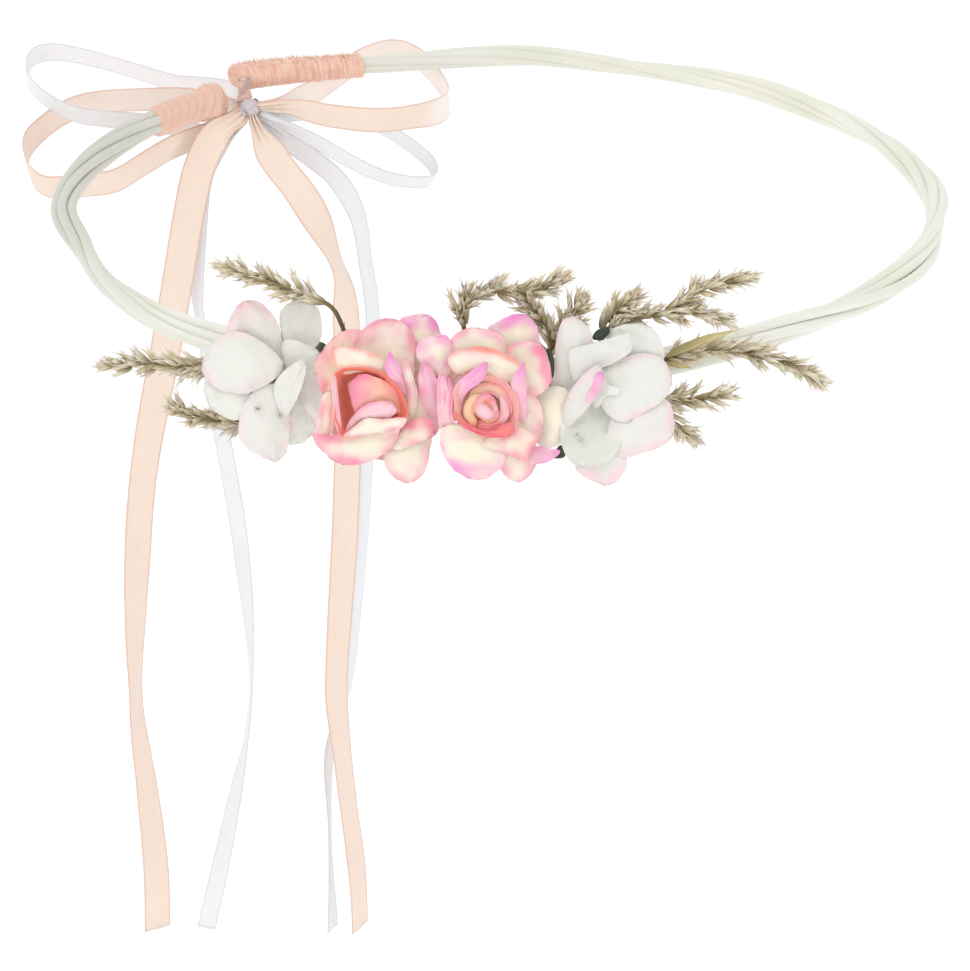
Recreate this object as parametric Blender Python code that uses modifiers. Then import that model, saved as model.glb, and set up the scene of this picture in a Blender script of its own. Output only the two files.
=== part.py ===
"""Flower crown: a twisted open hoop tied with a ribbon bow at the back, with paper roses and dried sprigs.

All sizes below are in millimetres. The origin is the middle of the head opening, in the hoop's plane.
+X is the wearer's left when the flowers face the front, -Y is the flowers' side, +Z is up.
"""

import math

import bpy
import numpy as np

MM = 0.001  # one millimetre in scene units
GAP = 0.3  # left between pieces that touch on the real object

# Hoop: five strands lying three over two, twisted together into an open ring
HOOP_RADIUS = 90.0  # to the middle of the bundle
STRAND_DIAMETER = 1.7
STRAND_SPACING = STRAND_DIAMETER + GAP
STRAND_STATIONS = 60
RIGHT_END_DEG = 131.0  # counter-clockwise from +X; the hoop runs clockwise from here
LEFT_END_DEG = -226.0
RIGHT_WRAP_DEG = 20.5  # arc under the fine thread binding
LEFT_WRAP_DEG = 14.0  # arc under the wound ribbon
RIGHT_END_RISE = 3.8
LEFT_END_RISE = -1.6
RISE_ARC_DEG = 60.0  # over which each end leaves the hoop's plane
RIGHT_ROLL_DEG = 8.0  # turn of the bundle's section inside the right wrap
BUNDLE_TURN_DEG = 1162.0  # turn of the section from the right wrap to the left one
STRAND_INSET_DEG = 0.8  # arc by which each strand stops inside the end of its wrap
STRAND_ROW = [(-1.0, -1), (0.0, -1), (1.0, -1), (-0.5, 1), (0.5, 1)]  # place along its row, and which row
HOOP_BULGES = [  # (angle, half arc, how far outwards): where the hoop strays from a circle
    (65.0, 22.0, -1.6), (0.0, 40.0, 0.9), (-52.0, 18.0, -1.2), (-160.0, 16.0, -2.2), (-131.0, 16.0, 1.8),
]
LOOSE_STRETCHES = [(-38.0, 30.0, 0.3), (-185.0, 28.0, 0.35)]  # (angle, half arc, extra spacing share)

# Wraps and tape around the bundle
OUTLINE_SIDES = 14
WRAP_WALL = 0.5
TAPE_WALL = 0.45
SLEEVE_CLEARANCE = 0.4  # from the strands to a wrap or a tape, at the outline's corners
WRAP_STEP_DEG = 3.0
ON_TAPE = SLEEVE_CLEARANCE + TAPE_WALL + GAP  # from the strands to a stem that stands on the tape
TAPE_COUNT = 4
TAPE_ARC_DEG = 11.5
TAPE_PITCH_DEG = 12.5
TAPE_FIRST_BEARING = -28.5  # bearings are measured from the front, positive towards +X

# Bow
KNOT_DEG = 132.3
KNOT_INSET = 6.7  # from the hoop's middle line towards the wearer
KNOT_HEIGHT = -3.0
KNOT_HALF_AXES = (2.3, 2.3, 2.1)
LASHING_INSET = 5.0
LASHING_HEIGHT = 1.7
LASHING_HALF_AXES = (1.5, 1.7, 2.1)
RIBBON_THICKNESS = 0.4
PEACH_WIDTH = 7.2
WHITE_WIDTH = 4.6
PINCHED_SHARE = 0.3  # of the width, where a ribbon enters the knot
PINCH_LENGTH = 14.0  # over which it opens to its full width
RIBBON_STEP = 5.0
LOOP_STEP = 4.0

# Loops: route points from the knot, out and back, and the direction of the ribbon's width
LOOPS = {
    "peach_loop_left": (
        PEACH_WIDTH,
        (-0.05, -0.45, 0.9),
        [
            (-57.5, 62.5, -2.0), (-61.5, 70.5, -5.0), (-70.5, 73.5, -4.5), (-80.5, 70.5, -3.5),
            (-92.0, 68.5, -3.7), (-99.0, 66.0, -5.2), (-104.3, 59.0, -7.5), (-106.0, 51.0, -9.0),
            (-104.5, 46.0, -12.5), (-100.5, 44.0, -15.0), (-92.5, 45.0, -15.0), (-85.5, 47.0, -14.5),
            (-79.5, 52.5, -12.5), (-74.0, 58.5, -11.0), (-66.0, 64.5, -9.5), (-57.5, 63.0, -3.5),
        ],
    ),
    "white_loop_left": (
        WHITE_WIDTH,
        (0.0, -0.35, 0.94),
        [
            (-57.0, 63.5, -1.5), (-59.5, 73.0, -2.5), (-65.5, 78.5, -3.0), (-75.0, 79.5, -2.5),
            (-84.0, 79.0, 0.5), (-94.5, 78.0, 4.0), (-102.5, 76.0, 6.0), (-106.5, 71.0, 6.0),
            (-106.5, 64.5, 3.5), (-102.0, 59.5, 0.5), (-95.5, 57.5, -2.5), (-88.5, 59.5, -4.5),
            (-81.0, 63.5, -6.5), (-74.0, 67.0, -9.0), (-66.0, 68.5, -10.5), (-56.5, 64.0, -5.0),
        ],
    ),
    "peach_loop_right": (
        PEACH_WIDTH,
        (0.0, -0.42, 0.91),
        [
            (-54.5, 62.5, -2.5), (-48.5, 69.0, -4.0), (-42.0, 79.0, -4.5), (-36.5, 88.5, -3.5),
            (-31.5, 95.5, -2.0), (-25.0, 98.5, -1.0), (-19.0, 98.0, -2.5), (-14.0, 93.5, -6.0),
            (-11.0, 84.0, -7.5), (-12.0, 73.0, -6.5), (-17.0, 62.5, -4.5), (-26.0, 57.5, -4.0),
            (-36.0, 57.0, -3.0), (-46.0, 58.5, -1.5), (-54.0, 61.0, -2.0),
        ],
    ),
    "white_loop_right": (
        WHITE_WIDTH,
        (0.3, -0.5, 0.81),
        [
            (-54.5, 63.0, -3.5), (-48.5, 67.5, -6.5), (-42.0, 69.5, -6.5), (-34.5, 69.5, -7.0),
            (-27.5, 68.5, -9.0), (-20.0, 66.5, -13.0), (-14.5, 63.5, -17.0), (-14.5, 60.5, -19.5),
            (-19.0, 59.0, -19.5), (-26.0, 59.0, -18.0), (-33.0, 60.0, -15.0), (-40.5, 61.5, -11.0),
            (-47.5, 62.5, -7.5), (-54.0, 62.0, -4.0),
        ],
    ),
}

# Tails: width, then for each route point its place and the turn of the ribbon about its length
TAILS = {
    "peach_tail_left": (
        PEACH_WIDTH,
        [
            (-58.5, 60.0, -4.5, 0), (-63.5, 58.0, -7.5, 0), (-67.5, 58.5, -15.0, 0),
            (-70.5, 59.0, -26.0, 0), (-76.5, 59.0, -55.5, 0), (-84.0, 59.0, -90.0, 25),
            (-87.5, 59.0, -118.0, 35), (-90.0, 59.0, -157.5, 70), (-88.5, 59.0, -184.5, 52),
            (-87.5, 59.0, -207.5, 35), (-88.0, 59.0, -227.0, 30),
        ],
    ),
    "white_tail_left": (
        WHITE_WIDTH,
        [
            (-57.5, 61.5, -5.5, 0), (-62.5, 61.3, -10.5, 0), (-67.0, 61.5, -18.0, 0),
            (-69.0, 61.5, -29.0, 0), (-70.0, 61.5, -45.5, -40), (-69.5, 61.5, -56.5, -55),
            (-65.5, 61.5, -86.0, -25), (-62.0, 61.5, -119.0, -30), (-61.0, 61.5, -152.0, -75),
            (-63.0, 61.5, -170.5, -75), (-66.0, 61.5, -186.0, -50), (-71.0, 61.5, -209.0, -20),
            (-75.5, 61.5, -228.5, 0),
        ],
    ),
    "peach_tail_right": (
        PEACH_WIDTH,
        [
            (-55.0, 59.6, -5.0, 0), (-53.0, 58.0, -9.0, 0), (-49.5, 57.8, -15.0, 0),
            (-43.5, 58.0, -24.0, 0), (-37.0, 58.0, -38.5, 50), (-35.0, 58.0, -53.5, 35),
            (-35.5, 58.0, -90.0, 30), (-37.0, 58.0, -117.5, 30), (-39.0, 58.0, -142.5, 40),
            (-39.5, 58.0, -157.0, 45), (-38.5, 58.0, -171.5, 55), (-37.5, 58.0, -186.5, 58),
            (-35.5, 58.0, -207.0, 58), (-35.0, 58.0, -226.0, 58),
        ],
    ),
    "white_tail_right": (
        WHITE_WIDTH,
        [
            (-54.0, 64.0, -6.0, 0), (-48.5, 65.5, -11.5, 0), (-42.0, 65.8, -16.5, 0),
            (-36.5, 65.3, -21.5, 0), (-32.0, 64.0, -30.0, 40), (-30.5, 63.5, -40.5, 50),
            (-29.0, 63.2, -58.5, 50), (-31.0, 63.2, -92.5, 50), (-33.0, 63.2, -120.0, 55),
            (-37.0, 63.2, -154.5, 55), (-42.0, 63.2, -175.0, 60), (-42.5, 63.2, -200.5, 85),
            (-42.5, 63.2, -230.0, 60),
        ],
    ),
}

# Roses: three cupped rosettes on a bud, on a wire stem
ROSE_BEARINGS = (-23.4, -11.9, -0.5, 10.0)
ROSE_HEIGHTS = (1.5, 0.3, 1.6, 0.2)  # of the flower's middle over the hoop's plane
ROSE_MIDDLE_OUT = 14.2  # from the hoop's middle line to the flower's middle
ROSE_TILT_DEG = 25.0  # upwards from level
ROSE_HALF_WIDTH = 9.6
ROSE_HALF_HEIGHT = 14.2
ROSE_MIDDLE_DEPTH = 5.0  # from the outer rosette's base to the flower's middle
PETAL_THICKNESS = 0.35
LOBE_ROUNDNESS = 0.7  # lower is rounder petals with sharper notches between them
STEM_DIAMETER = 0.9
ROSETTES = {  # reach as a share of the outer one, base height, rise at full reach, petals, petal depth
    "outer": (1.0, 0.0, 5.0, 5, 0.16),
    "middle": (0.76, 1.2, 9.0, 5, 0.12),
    "inner": (0.5, 2.4, 22.0, 4, 0.1),
}
ROSETTE_SPOKES = 20
ROSETTE_RINGS = 3
BUD_RADIUS = 1.9
BUD_SWELL = (0.55, 0.85, 1.0, 0.9, 0.6, 0.25)  # shares of its radius from base to tip
BUD_LENGTH = 7.0
BUD_BASE = 3.6
STEM_STRAIGHT = (1.0, 2.5)  # behind the outer rosette's base, where the stem still runs straight
STEM_STEP = 1.2

# Sprigs: bearing and clock angle of the root on the tape, share of the route that is bare stem, then
# route points as (bearing, distance outside the hoop's middle line, height)
SPRIG_STEM_DIAMETER = 0.9
SPRIG_HEAD_RADIUS = 2.2
SPRIG_HEAD_BLUNTNESS = (0.35, 0.1)  # share of its radius at the stem, and how far in its swelling starts
SPRIG_HEAD_GAP = 0.5
SPRIG_STEP = 2.2
SPRIGS = {
    "sprig_1": (
        (-17.5, 60, 0.5),
        [(-19.5, 6.5, 13.5), (-22.0, 7.0, 17.0), (-25.5, 8.5, 19.0), (-29.5, 11.0, 19.0)],
    ),
    "sprig_2": (
        (-26.5, 20, 0.48),
        [(-29.0, 12.5, 2.0), (-31.0, 16.5, 1.8), (-34.0, 21.0, 2.5), (-37.5, 27.5, 2.5)],
    ),
    "sprig_3": (
        (-24.5, -50, 0.4),
        [(-26.0, 11.5, -8.5), (-28.5, 15.5, -8.0), (-30.5, 19.0, -5.5), (-31.5, 21.5, -3.5)],
    ),
    "sprig_4": (
        (-3.0, 75, 0.4),
        [(-3.5, 0.0, 10.0), (-3.5, -0.5, 13.0), (-0.5, -0.5, 15.0), (6.5, 0.5, 18.5)],
    ),
    "sprig_5": (
        (6.0, 70, 0.4),
        [(6.0, 1.5, 6.0), (7.0, 1.5, 9.5), (8.5, 2.5, 13.5), (9.5, 3.0, 16.5)],
    ),
    "sprig_6": (
        (10.5, 60, 0.3),
        [(11.5, 4.0, 8.0), (13.5, 4.5, 11.0), (16.5, 6.0, 13.5), (25.5, 12.0, 18.5)],
    ),
    "sprig_7": (
        (18.5, 30, 0.25),
        [(20.0, 7.0, 4.0), (24.0, 8.0, 4.0), (29.5, 11.0, 1.5), (33.5, 14.5, -2.5)],
    ),
    "sprig_8": (
        (16.5, -40, 0.3),
        [(17.5, 7.0, -4.5), (20.0, 9.0, -5.0), (23.5, 12.0, -5.0)],
    ),
}

PEACH = (0.96, 0.66, 0.52)
LILAC_WHITE = (0.83, 0.82, 0.88)
IVORY = (0.86, 0.86, 0.78)
PETAL_WHITE = (0.86, 0.87, 0.84)
PETAL_PINK = (0.93, 0.55, 0.62)
TAPE_GREEN = (0.12, 0.15, 0.07)
STRAW = (0.55, 0.47, 0.32)
GREY_BROWN = (0.5, 0.38, 0.33)


def clear_scene():
    for obj in list(bpy.data.objects):
        bpy.data.objects.remove(obj)


def new_material(name, colour, roughness):
    material = bpy.data.materials.new(name)
    material.use_nodes = True
    shader = material.node_tree.nodes["Principled BSDF"]
    shader.inputs["Base Color"].default_value = (*colour, 1.0)
    shader.inputs["Roughness"].default_value = roughness
    shader.inputs["Metallic"].default_value = 0.0
    return material


def add_mesh(name, points, faces, material):
    """A smooth-shaded mesh object from points in millimetres."""
    mesh = bpy.data.meshes.new(name)
    mesh.from_pydata([tuple(float(v) * MM for v in p) for p in points], [], faces)
    mesh.validate()
    for polygon in mesh.polygons:
        polygon.use_smooth = True
    mesh.materials.append(material)
    obj = bpy.data.objects.new(name, mesh)
    crown.objects.link(obj)
    return obj


def solidify(obj, thickness, offset):
    modifier = obj.modifiers.new("Thickness", "SOLIDIFY")
    modifier.thickness = thickness * MM
    modifier.offset = offset
    modifier.use_even_offset = False


def unit(vector):
    return vector / np.linalg.norm(vector)


def smooth_route(points, step):
    """Points about a step apart on a Catmull-Rom curve through the route's own points."""
    route = np.array(points, float)
    padded = np.vstack([2 * route[0] - route[1], route, 2 * route[-1] - route[-2]])
    found = []
    for i in range(len(route) - 1):
        a, b, c, d = padded[i : i + 4]
        count = max(2, round(float(np.linalg.norm((c - b)[:3])) / step))
        for t in np.arange(count) / count:
            linear = (c - a) * t
            square = (2 * a - 5 * b + 4 * c - d) * t**2
            cube = (3 * b - a - 3 * c + d) * t**3
            found.append(b + 0.5 * (linear + square + cube))
    found.append(route[-1])
    return np.array(found)


def tube(name, points, radii, material, sides_level):
    """A round wire as a poly curve with filled caps; radii in millimetres, one for each point."""
    curve = bpy.data.curves.new(name, "CURVE")
    curve.dimensions = "3D"
    curve.bevel_depth = MM
    curve.bevel_resolution = sides_level
    curve.use_fill_caps = True
    curve.twist_mode = "MINIMUM"
    spline = curve.splines.new("POLY")
    spline.points.add(len(points) - 1)
    for spot, place, radius in zip(spline.points, points, radii):
        spot.co = (*(float(v) * MM for v in place), 1.0)
        spot.radius = float(radius)
    spline.use_smooth = True
    curve.materials.append(material)
    obj = bpy.data.objects.new(name, curve)
    crown.objects.link(obj)
    return obj


# Hoop


def smoothstep(t):
    t = min(1.0, max(0.0, t))
    return t * t * (3 - 2 * t)


def bump(deg, middle, half_arc):
    """A smooth hill, 1 at its middle and 0 beyond its half arc."""
    return smoothstep(1 - abs(deg - middle) / half_arc)


def hoop_radius(deg):
    return HOOP_RADIUS + sum(out * bump(deg, middle, half_arc) for middle, half_arc, out in HOOP_BULGES)


def hoop_rise(deg):
    right = smoothstep(1 - (RIGHT_END_DEG - deg) / RISE_ARC_DEG)
    left = smoothstep(1 - (deg - LEFT_END_DEG) / RISE_ARC_DEG)
    return RIGHT_END_RISE * right + LEFT_END_RISE * left


def section_frame(deg):
    """The bundle's middle at this angle, with its outward and upward directions."""
    angle = math.radians(deg)
    outward = np.array([math.cos(angle), math.sin(angle), 0.0])
    middle = outward * hoop_radius(deg)
    middle[2] = hoop_rise(deg)
    return middle, outward, np.array([0.0, 0.0, 1.0])


def section_roll(deg):
    """How far the bundle's section is turned at this angle, in radians. It doesn't turn inside the wraps."""
    start = RIGHT_END_DEG - RIGHT_WRAP_DEG
    end = LEFT_END_DEG + LEFT_WRAP_DEG
    share = min(1.0, max(0.0, (start - deg) / (start - end)))
    return math.radians(RIGHT_ROLL_DEG + BUNDLE_TURN_DEG * share)


def strand_offsets(deg):
    """(outward, upward) of each strand's middle from the bundle's: three strands over two."""
    loose = 1 + sum(extra * bump(deg, middle, half_arc) for middle, half_arc, extra in LOOSE_STRETCHES)
    spacing = STRAND_SPACING * loose
    half_row = spacing * math.sqrt(3) / 4
    roll = section_roll(deg)
    c, s = math.cos(roll), math.sin(roll)
    placed = [(along * spacing, row * half_row) for along, row in STRAND_ROW]
    return np.array([(c * a - s * b, s * a + c * b) for a, b in placed])


def bundle_outline(deg, clearance):
    """Points round the bundle at this angle, at this clearance from its strands, in world millimetres."""
    middle, outward, upward = section_frame(deg)
    offsets = strand_offsets(deg)
    roll = section_roll(deg)
    reach = STRAND_DIAMETER / 2 + clearance
    found = []
    for k in range(OUTLINE_SIDES):
        angle = roll + 2 * math.pi * k / OUTLINE_SIDES
        way = np.array([math.cos(angle), math.sin(angle)])
        spot = offsets[np.argmax(offsets @ way)] + reach * way
        found.append(middle + outward * spot[0] + upward * spot[1])
    return found


def bundle_reach(deg, clock, clearance):
    """The point just clear of whatever surrounds the bundle, at a clock angle from outward towards up."""
    middle, outward, upward = section_frame(deg)
    way = np.array([math.cos(math.radians(clock)), math.sin(math.radians(clock))])
    far = float((strand_offsets(deg) @ way).max()) + STRAND_DIAMETER / 2 + clearance
    return middle + outward * way[0] * far + upward * way[1] * far


def build_strands(material):
    angles = np.linspace(RIGHT_END_DEG - STRAND_INSET_DEG, LEFT_END_DEG + STRAND_INSET_DEG, STRAND_STATIONS)
    for k in range(len(STRAND_ROW)):
        points = []
        for deg in angles:
            middle, outward, upward = section_frame(deg)
            out, up = strand_offsets(deg)[k]
            points.append(middle + outward * out + upward * up)
        radii = [STRAND_DIAMETER / 2] * len(points)
        tube(f"hoop_strand_{k + 1}", points, radii, material, 1)


def sleeve(name, first_deg, last_deg, wall, material):
    """A tube fitted around the bundle between two angles."""
    count = max(2, round(abs(last_deg - first_deg) / WRAP_STEP_DEG)) + 1
    points = []
    for deg in np.linspace(first_deg, last_deg, count):
        points += bundle_outline(deg, SLEEVE_CLEARANCE)
    faces = []
    for row in range(count - 1):
        for k in range(OUTLINE_SIDES):
            after = (k + 1) % OUTLINE_SIDES
            base = row * OUTLINE_SIDES
            over = base + OUTLINE_SIDES
            faces.append((base + k, over + k, over + after, base + after))
    obj = add_mesh(name, points, faces, material)
    solidify(obj, wall, 1 if last_deg > first_deg else -1)


def build_wraps(peach, green):
    sleeve("right_end_wrap", RIGHT_END_DEG, RIGHT_END_DEG - RIGHT_WRAP_DEG, WRAP_WALL, peach)
    sleeve("left_end_wrap", LEFT_END_DEG + LEFT_WRAP_DEG, LEFT_END_DEG, WRAP_WALL, peach)
    for k in range(TAPE_COUNT):
        bearing = TAPE_FIRST_BEARING + k * TAPE_PITCH_DEG
        start = bearing - 90
        sleeve(f"stem_tape_{k + 1}", start + TAPE_ARC_DEG, start, TAPE_WALL, green)


# Bow


def at_knot(inset, height):
    """A place in the gap between the hoop's ends."""
    angle = math.radians(KNOT_DEG)
    radius = HOOP_RADIUS - inset
    return np.array([radius * math.cos(angle), radius * math.sin(angle), height])


def ball(name, centre, half_axes, material):
    bpy.ops.mesh.primitive_uv_sphere_add(segments=16, ring_count=10, radius=MM)
    obj = bpy.context.active_object
    obj.name = name
    obj.data.name = name
    obj.location = [v * MM for v in centre]
    obj.scale = half_axes
    obj.data.materials.append(material)
    for polygon in obj.data.polygons:
        polygon.use_smooth = True
    for collection in obj.users_collection:
        collection.objects.unlink(obj)
    crown.objects.link(obj)


def clear_of_knot(points):
    """The rows whose place is outside the knot, with the gap that a ribbon keeps from it."""
    reach = np.array(KNOT_HALF_AXES) + GAP + RIBBON_THICKNESS
    away = np.linalg.norm((points[:, :3] - at_knot(KNOT_INSET, KNOT_HEIGHT)) / reach, axis=1)
    return points[away >= 1.0]


def strip(name, middles, acrosses, widths, material):
    """A flat ribbon along these middles, with its width lying along these directions."""
    tangents = np.gradient(middles, axis=0)
    points = []
    for middle, tangent, across, width in zip(middles, tangents, acrosses, widths):
        along = unit(tangent)
        side = unit(across - along * float(across @ along))
        points += [middle - side * width / 2, middle + side * width / 2]
    faces = [(2 * i, 2 * i + 1, 2 * i + 3, 2 * i + 2) for i in range(len(middles) - 1)]
    obj = add_mesh(name, points, faces, material)
    solidify(obj, RIBBON_THICKNESS, 0.0)


def opened(lengths):
    """The share of its width that a ribbon has at each length from the knot."""
    rise = np.array([smoothstep(v / PINCH_LENGTH) for v in lengths])
    return PINCHED_SHARE + (1 - PINCHED_SHARE) * rise


def lengths_along(points):
    steps = np.linalg.norm(np.diff(points, axis=0), axis=1)
    return np.concatenate([[0.0], np.cumsum(steps)])


def build_loops(peach, white):
    for name, (width, across, route) in LOOPS.items():
        middles = clear_of_knot(smooth_route(route, LOOP_STEP))
        along = lengths_along(middles)
        share = np.minimum(opened(along), opened(along[-1] - along))
        acrosses = [np.array(across)] * len(middles)
        strip(name, middles, acrosses, width * share, peach if width == PEACH_WIDTH else white)


def build_tails(peach, white):
    for name, (width, route) in TAILS.items():
        rows = clear_of_knot(smooth_route(route, RIBBON_STEP))
        middles = rows[:, :3]
        turns = np.radians(rows[:, 3])
        acrosses = np.stack([np.cos(turns), np.sin(turns), np.zeros(len(turns))], axis=1)
        share = opened(lengths_along(middles))
        strip(name, middles, acrosses, width * share, peach if width == PEACH_WIDTH else white)


def build_knot(white, brown):
    ball("bow_knot", at_knot(KNOT_INSET, KNOT_HEIGHT), KNOT_HALF_AXES, white)
    ball("knot_lashing", at_knot(LASHING_INSET, LASHING_HEIGHT), LASHING_HALF_AXES, brown)


# Roses


def rose_frame(k):
    """(base, facing, right, up) of a rose: the base is where its outer rosette meets the stem."""
    bearing = math.radians(ROSE_BEARINGS[k])
    tilt = math.radians(ROSE_TILT_DEG)
    outward = np.array([math.sin(bearing), -math.cos(bearing), 0.0])
    facing = outward * math.cos(tilt) + np.array([0.0, 0.0, math.sin(tilt)])
    right = np.array([math.cos(bearing), math.sin(bearing), 0.0])
    up = np.cross(facing, right) * -1
    middle = outward * (HOOP_RADIUS + ROSE_MIDDLE_OUT)
    middle[2] = ROSE_HEIGHTS[k]
    return middle - facing * ROSE_MIDDLE_DEPTH, facing, right, up


def rosette(name, k, share, base_height, rise, petals, depth, material):
    """One cupped, lobed paper rosette, with a hole for the stem."""
    base, facing, right, up = rose_frame(k)
    hole = (STEM_DIAMETER / 2 + GAP) / ROSE_HALF_WIDTH
    points = []
    for ring in range(ROSETTE_RINGS + 1):
        for spoke in range(ROSETTE_SPOKES):
            angle = 2 * math.pi * spoke / ROSETTE_SPOKES
            lobe = 1 - depth * (1 - abs(math.sin(angle * petals / 2 + k)) ** LOBE_ROUNDNESS)
            reach = hole + (share * lobe - hole) * ring / ROSETTE_RINGS
            height = base_height + rise * reach**2
            place = base + facing * height
            place = place + right * (reach * math.cos(angle) * ROSE_HALF_WIDTH)
            stretch = ROSE_HALF_WIDTH if ring == 0 else ROSE_HALF_HEIGHT
            points.append(place + up * (reach * math.sin(angle) * stretch))
    faces = []
    for ring in range(ROSETTE_RINGS):
        for spoke in range(ROSETTE_SPOKES):
            after = (spoke + 1) % ROSETTE_SPOKES
            low = ring * ROSETTE_SPOKES
            high = low + ROSETTE_SPOKES
            faces.append((low + spoke, high + spoke, high + after, low + after))
    obj = add_mesh(name, points, faces, material)
    solidify(obj, PETAL_THICKNESS, 0.0)


def build_roses(white, pink, green):
    for k in range(len(ROSE_BEARINGS)):
        name = f"rose_{k + 1}"
        petal = pink if k in (1, 2) else white
        for layer, (share, base_height, rise, petals, depth) in ROSETTES.items():
            rosette(f"{name}_{layer}", k, share, base_height, rise, petals, depth, petal)
        base, facing, _, _ = rose_frame(k)
        heights = np.linspace(BUD_BASE, BUD_BASE + BUD_LENGTH, len(BUD_SWELL))
        bud = [base + facing * h for h in heights]
        tube(f"{name}_bud", bud, [BUD_RADIUS * s for s in BUD_SWELL], petal, 2)
        foot = bundle_reach(ROSE_BEARINGS[k] - 90, 0, ON_TAPE)
        behind = [base - facing * back for back in reversed(STEM_STRAIGHT)]
        stem = smooth_route([foot, *behind, base + facing * (BUD_BASE - GAP)], STEM_STEP)
        tube(f"{name}_stem", stem, [STEM_DIAMETER / 2] * len(stem), green, 1)


# Sprigs


def beside_hoop(bearing, out, height):
    angle = math.radians(bearing)
    radius = HOOP_RADIUS + out
    return np.array([radius * math.sin(angle), -radius * math.cos(angle), height])


def head_swell(share):
    """The share of its radius that a flower head has, from its stem at 0 to its tip at 1."""
    least, start = SPRIG_HEAD_BLUNTNESS
    return least + (1 - least) * math.sqrt(math.sin(math.pi * min(1.0, start + share)))


def build_sprigs(straw, green):
    for name, ((bearing, clock, bare), points) in SPRIGS.items():
        root = bundle_reach(bearing - 90, clock, ON_TAPE)
        route = smooth_route([root, *(beside_hoop(*p) for p in points)], SPRIG_STEP)
        split = round(bare * len(route))
        stem = route[: split + 1]
        tube(f"{name}_stem", stem, [SPRIG_STEM_DIAMETER / 2] * len(stem), green, 1)
        head = route[split:].copy()
        head[0] += unit(head[1] - head[0]) * SPRIG_HEAD_GAP
        shares = np.linspace(0.0, 1.0, len(head))
        tube(f"{name}_head", head, [SPRIG_HEAD_RADIUS * head_swell(s) for s in shares], straw, 1)


clear_scene()
crown = bpy.data.collections.new("flower_crown")
bpy.context.scene.collection.children.link(crown)
peach_satin = new_material("peach_satin", PEACH, 0.4)
white_satin = new_material("white_satin", LILAC_WHITE, 0.35)
ivory_cord = new_material("ivory_cord", IVORY, 0.45)
white_paper = new_material("white_paper", PETAL_WHITE, 0.85)
pink_paper = new_material("pink_paper", PETAL_PINK, 0.85)
green_tape = new_material("green_tape", TAPE_GREEN, 0.8)
straw = new_material("straw", STRAW, 0.9)
lashing_thread = new_material("lashing_thread", GREY_BROWN, 0.8)
build_strands(ivory_cord)
build_wraps(peach_satin, green_tape)
build_knot(white_satin, lashing_thread)
build_loops(peach_satin, white_satin)
build_tails(peach_satin, white_satin)
build_roses(white_paper, pink_paper, green_tape)
build_sprigs(straw, green_tape)
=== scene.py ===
"""Looks of the flower crown: twisted hoop, wound ends, satin bow, paper roses and dried sprigs.

Sizes are in millimetres in the tables and helpers, and in metres once a mesh is made.
"""

import math
import random

import bpy
import numpy as np
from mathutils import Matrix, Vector, noise


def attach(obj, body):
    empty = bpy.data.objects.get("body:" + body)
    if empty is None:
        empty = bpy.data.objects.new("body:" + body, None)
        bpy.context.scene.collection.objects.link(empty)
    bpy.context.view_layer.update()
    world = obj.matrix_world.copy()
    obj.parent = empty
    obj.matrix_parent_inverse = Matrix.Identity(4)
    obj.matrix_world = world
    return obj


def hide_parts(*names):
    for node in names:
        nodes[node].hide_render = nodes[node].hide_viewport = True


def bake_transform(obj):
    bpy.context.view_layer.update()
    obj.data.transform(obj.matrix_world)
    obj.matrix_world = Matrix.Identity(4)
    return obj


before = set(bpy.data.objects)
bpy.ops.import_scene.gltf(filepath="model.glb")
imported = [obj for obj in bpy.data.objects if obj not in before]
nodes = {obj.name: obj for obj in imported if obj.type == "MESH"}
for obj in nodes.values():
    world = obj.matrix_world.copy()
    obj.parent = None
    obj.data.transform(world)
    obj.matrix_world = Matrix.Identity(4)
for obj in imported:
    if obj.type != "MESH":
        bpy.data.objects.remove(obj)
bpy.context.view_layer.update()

MM = 0.001

# ---------------------------------------------------------------- camera and light

CAMERA_PLACE = (-0.0024, -0.5715, 0.2187)
CAMERA_DIP_DEG = 26.63
LENS_MM = 108.33
SENSOR_MM = 36.0
WORLD_STRENGTH = 0.98
# Lights: place, what it points at, size, power, colour
LIGHTS = {
    "key": ((-0.55, -0.6, 1.0), (0, 0, -0.05), 0.7, 1.7, (1.0, 0.99, 0.97)),
    "fill": ((0.9, -0.5, 0.5), (0, 0, -0.05), 0.9, 0.5, (0.97, 0.98, 1.0)),
    "front": ((-0.25, -1.1, -0.15), (0, 0, -0.03), 0.6, 0.45, (1.0, 1.0, 1.0)),
}

camera_data = bpy.data.cameras.new("camera")
camera_data.lens = LENS_MM
camera_data.sensor_width = SENSOR_MM
camera_data.sensor_fit = "HORIZONTAL"
camera_data.clip_start = 0.01
camera = bpy.data.objects.new("camera", camera_data)
camera.location = CAMERA_PLACE
camera.rotation_euler = (math.radians(90 - CAMERA_DIP_DEG), 0, 0)
bpy.context.scene.collection.objects.link(camera)
bpy.context.scene.camera = camera
bpy.context.scene.view_settings.view_transform = "Standard"

world = bpy.data.worlds.new("studio")
bpy.context.scene.world = world
world.use_nodes = True
background = world.node_tree.nodes["Background"]
background.inputs["Color"].default_value = (1.0, 1.0, 1.0, 1)
background.inputs["Strength"].default_value = WORLD_STRENGTH

for name, (place, aim, size, power, colour) in LIGHTS.items():
    light_data = bpy.data.lights.new(name, "AREA")
    light_data.shape = "DISK"
    light_data.size = size
    light_data.energy = power
    light_data.color = colour
    light = bpy.data.objects.new(name, light_data)
    light.location = place
    light.rotation_euler = (Vector(aim) - Vector(place)).to_track_quat("-Z", "Y").to_euler()
    bpy.context.scene.collection.objects.link(light)

# ---------------------------------------------------------------- node helpers


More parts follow.
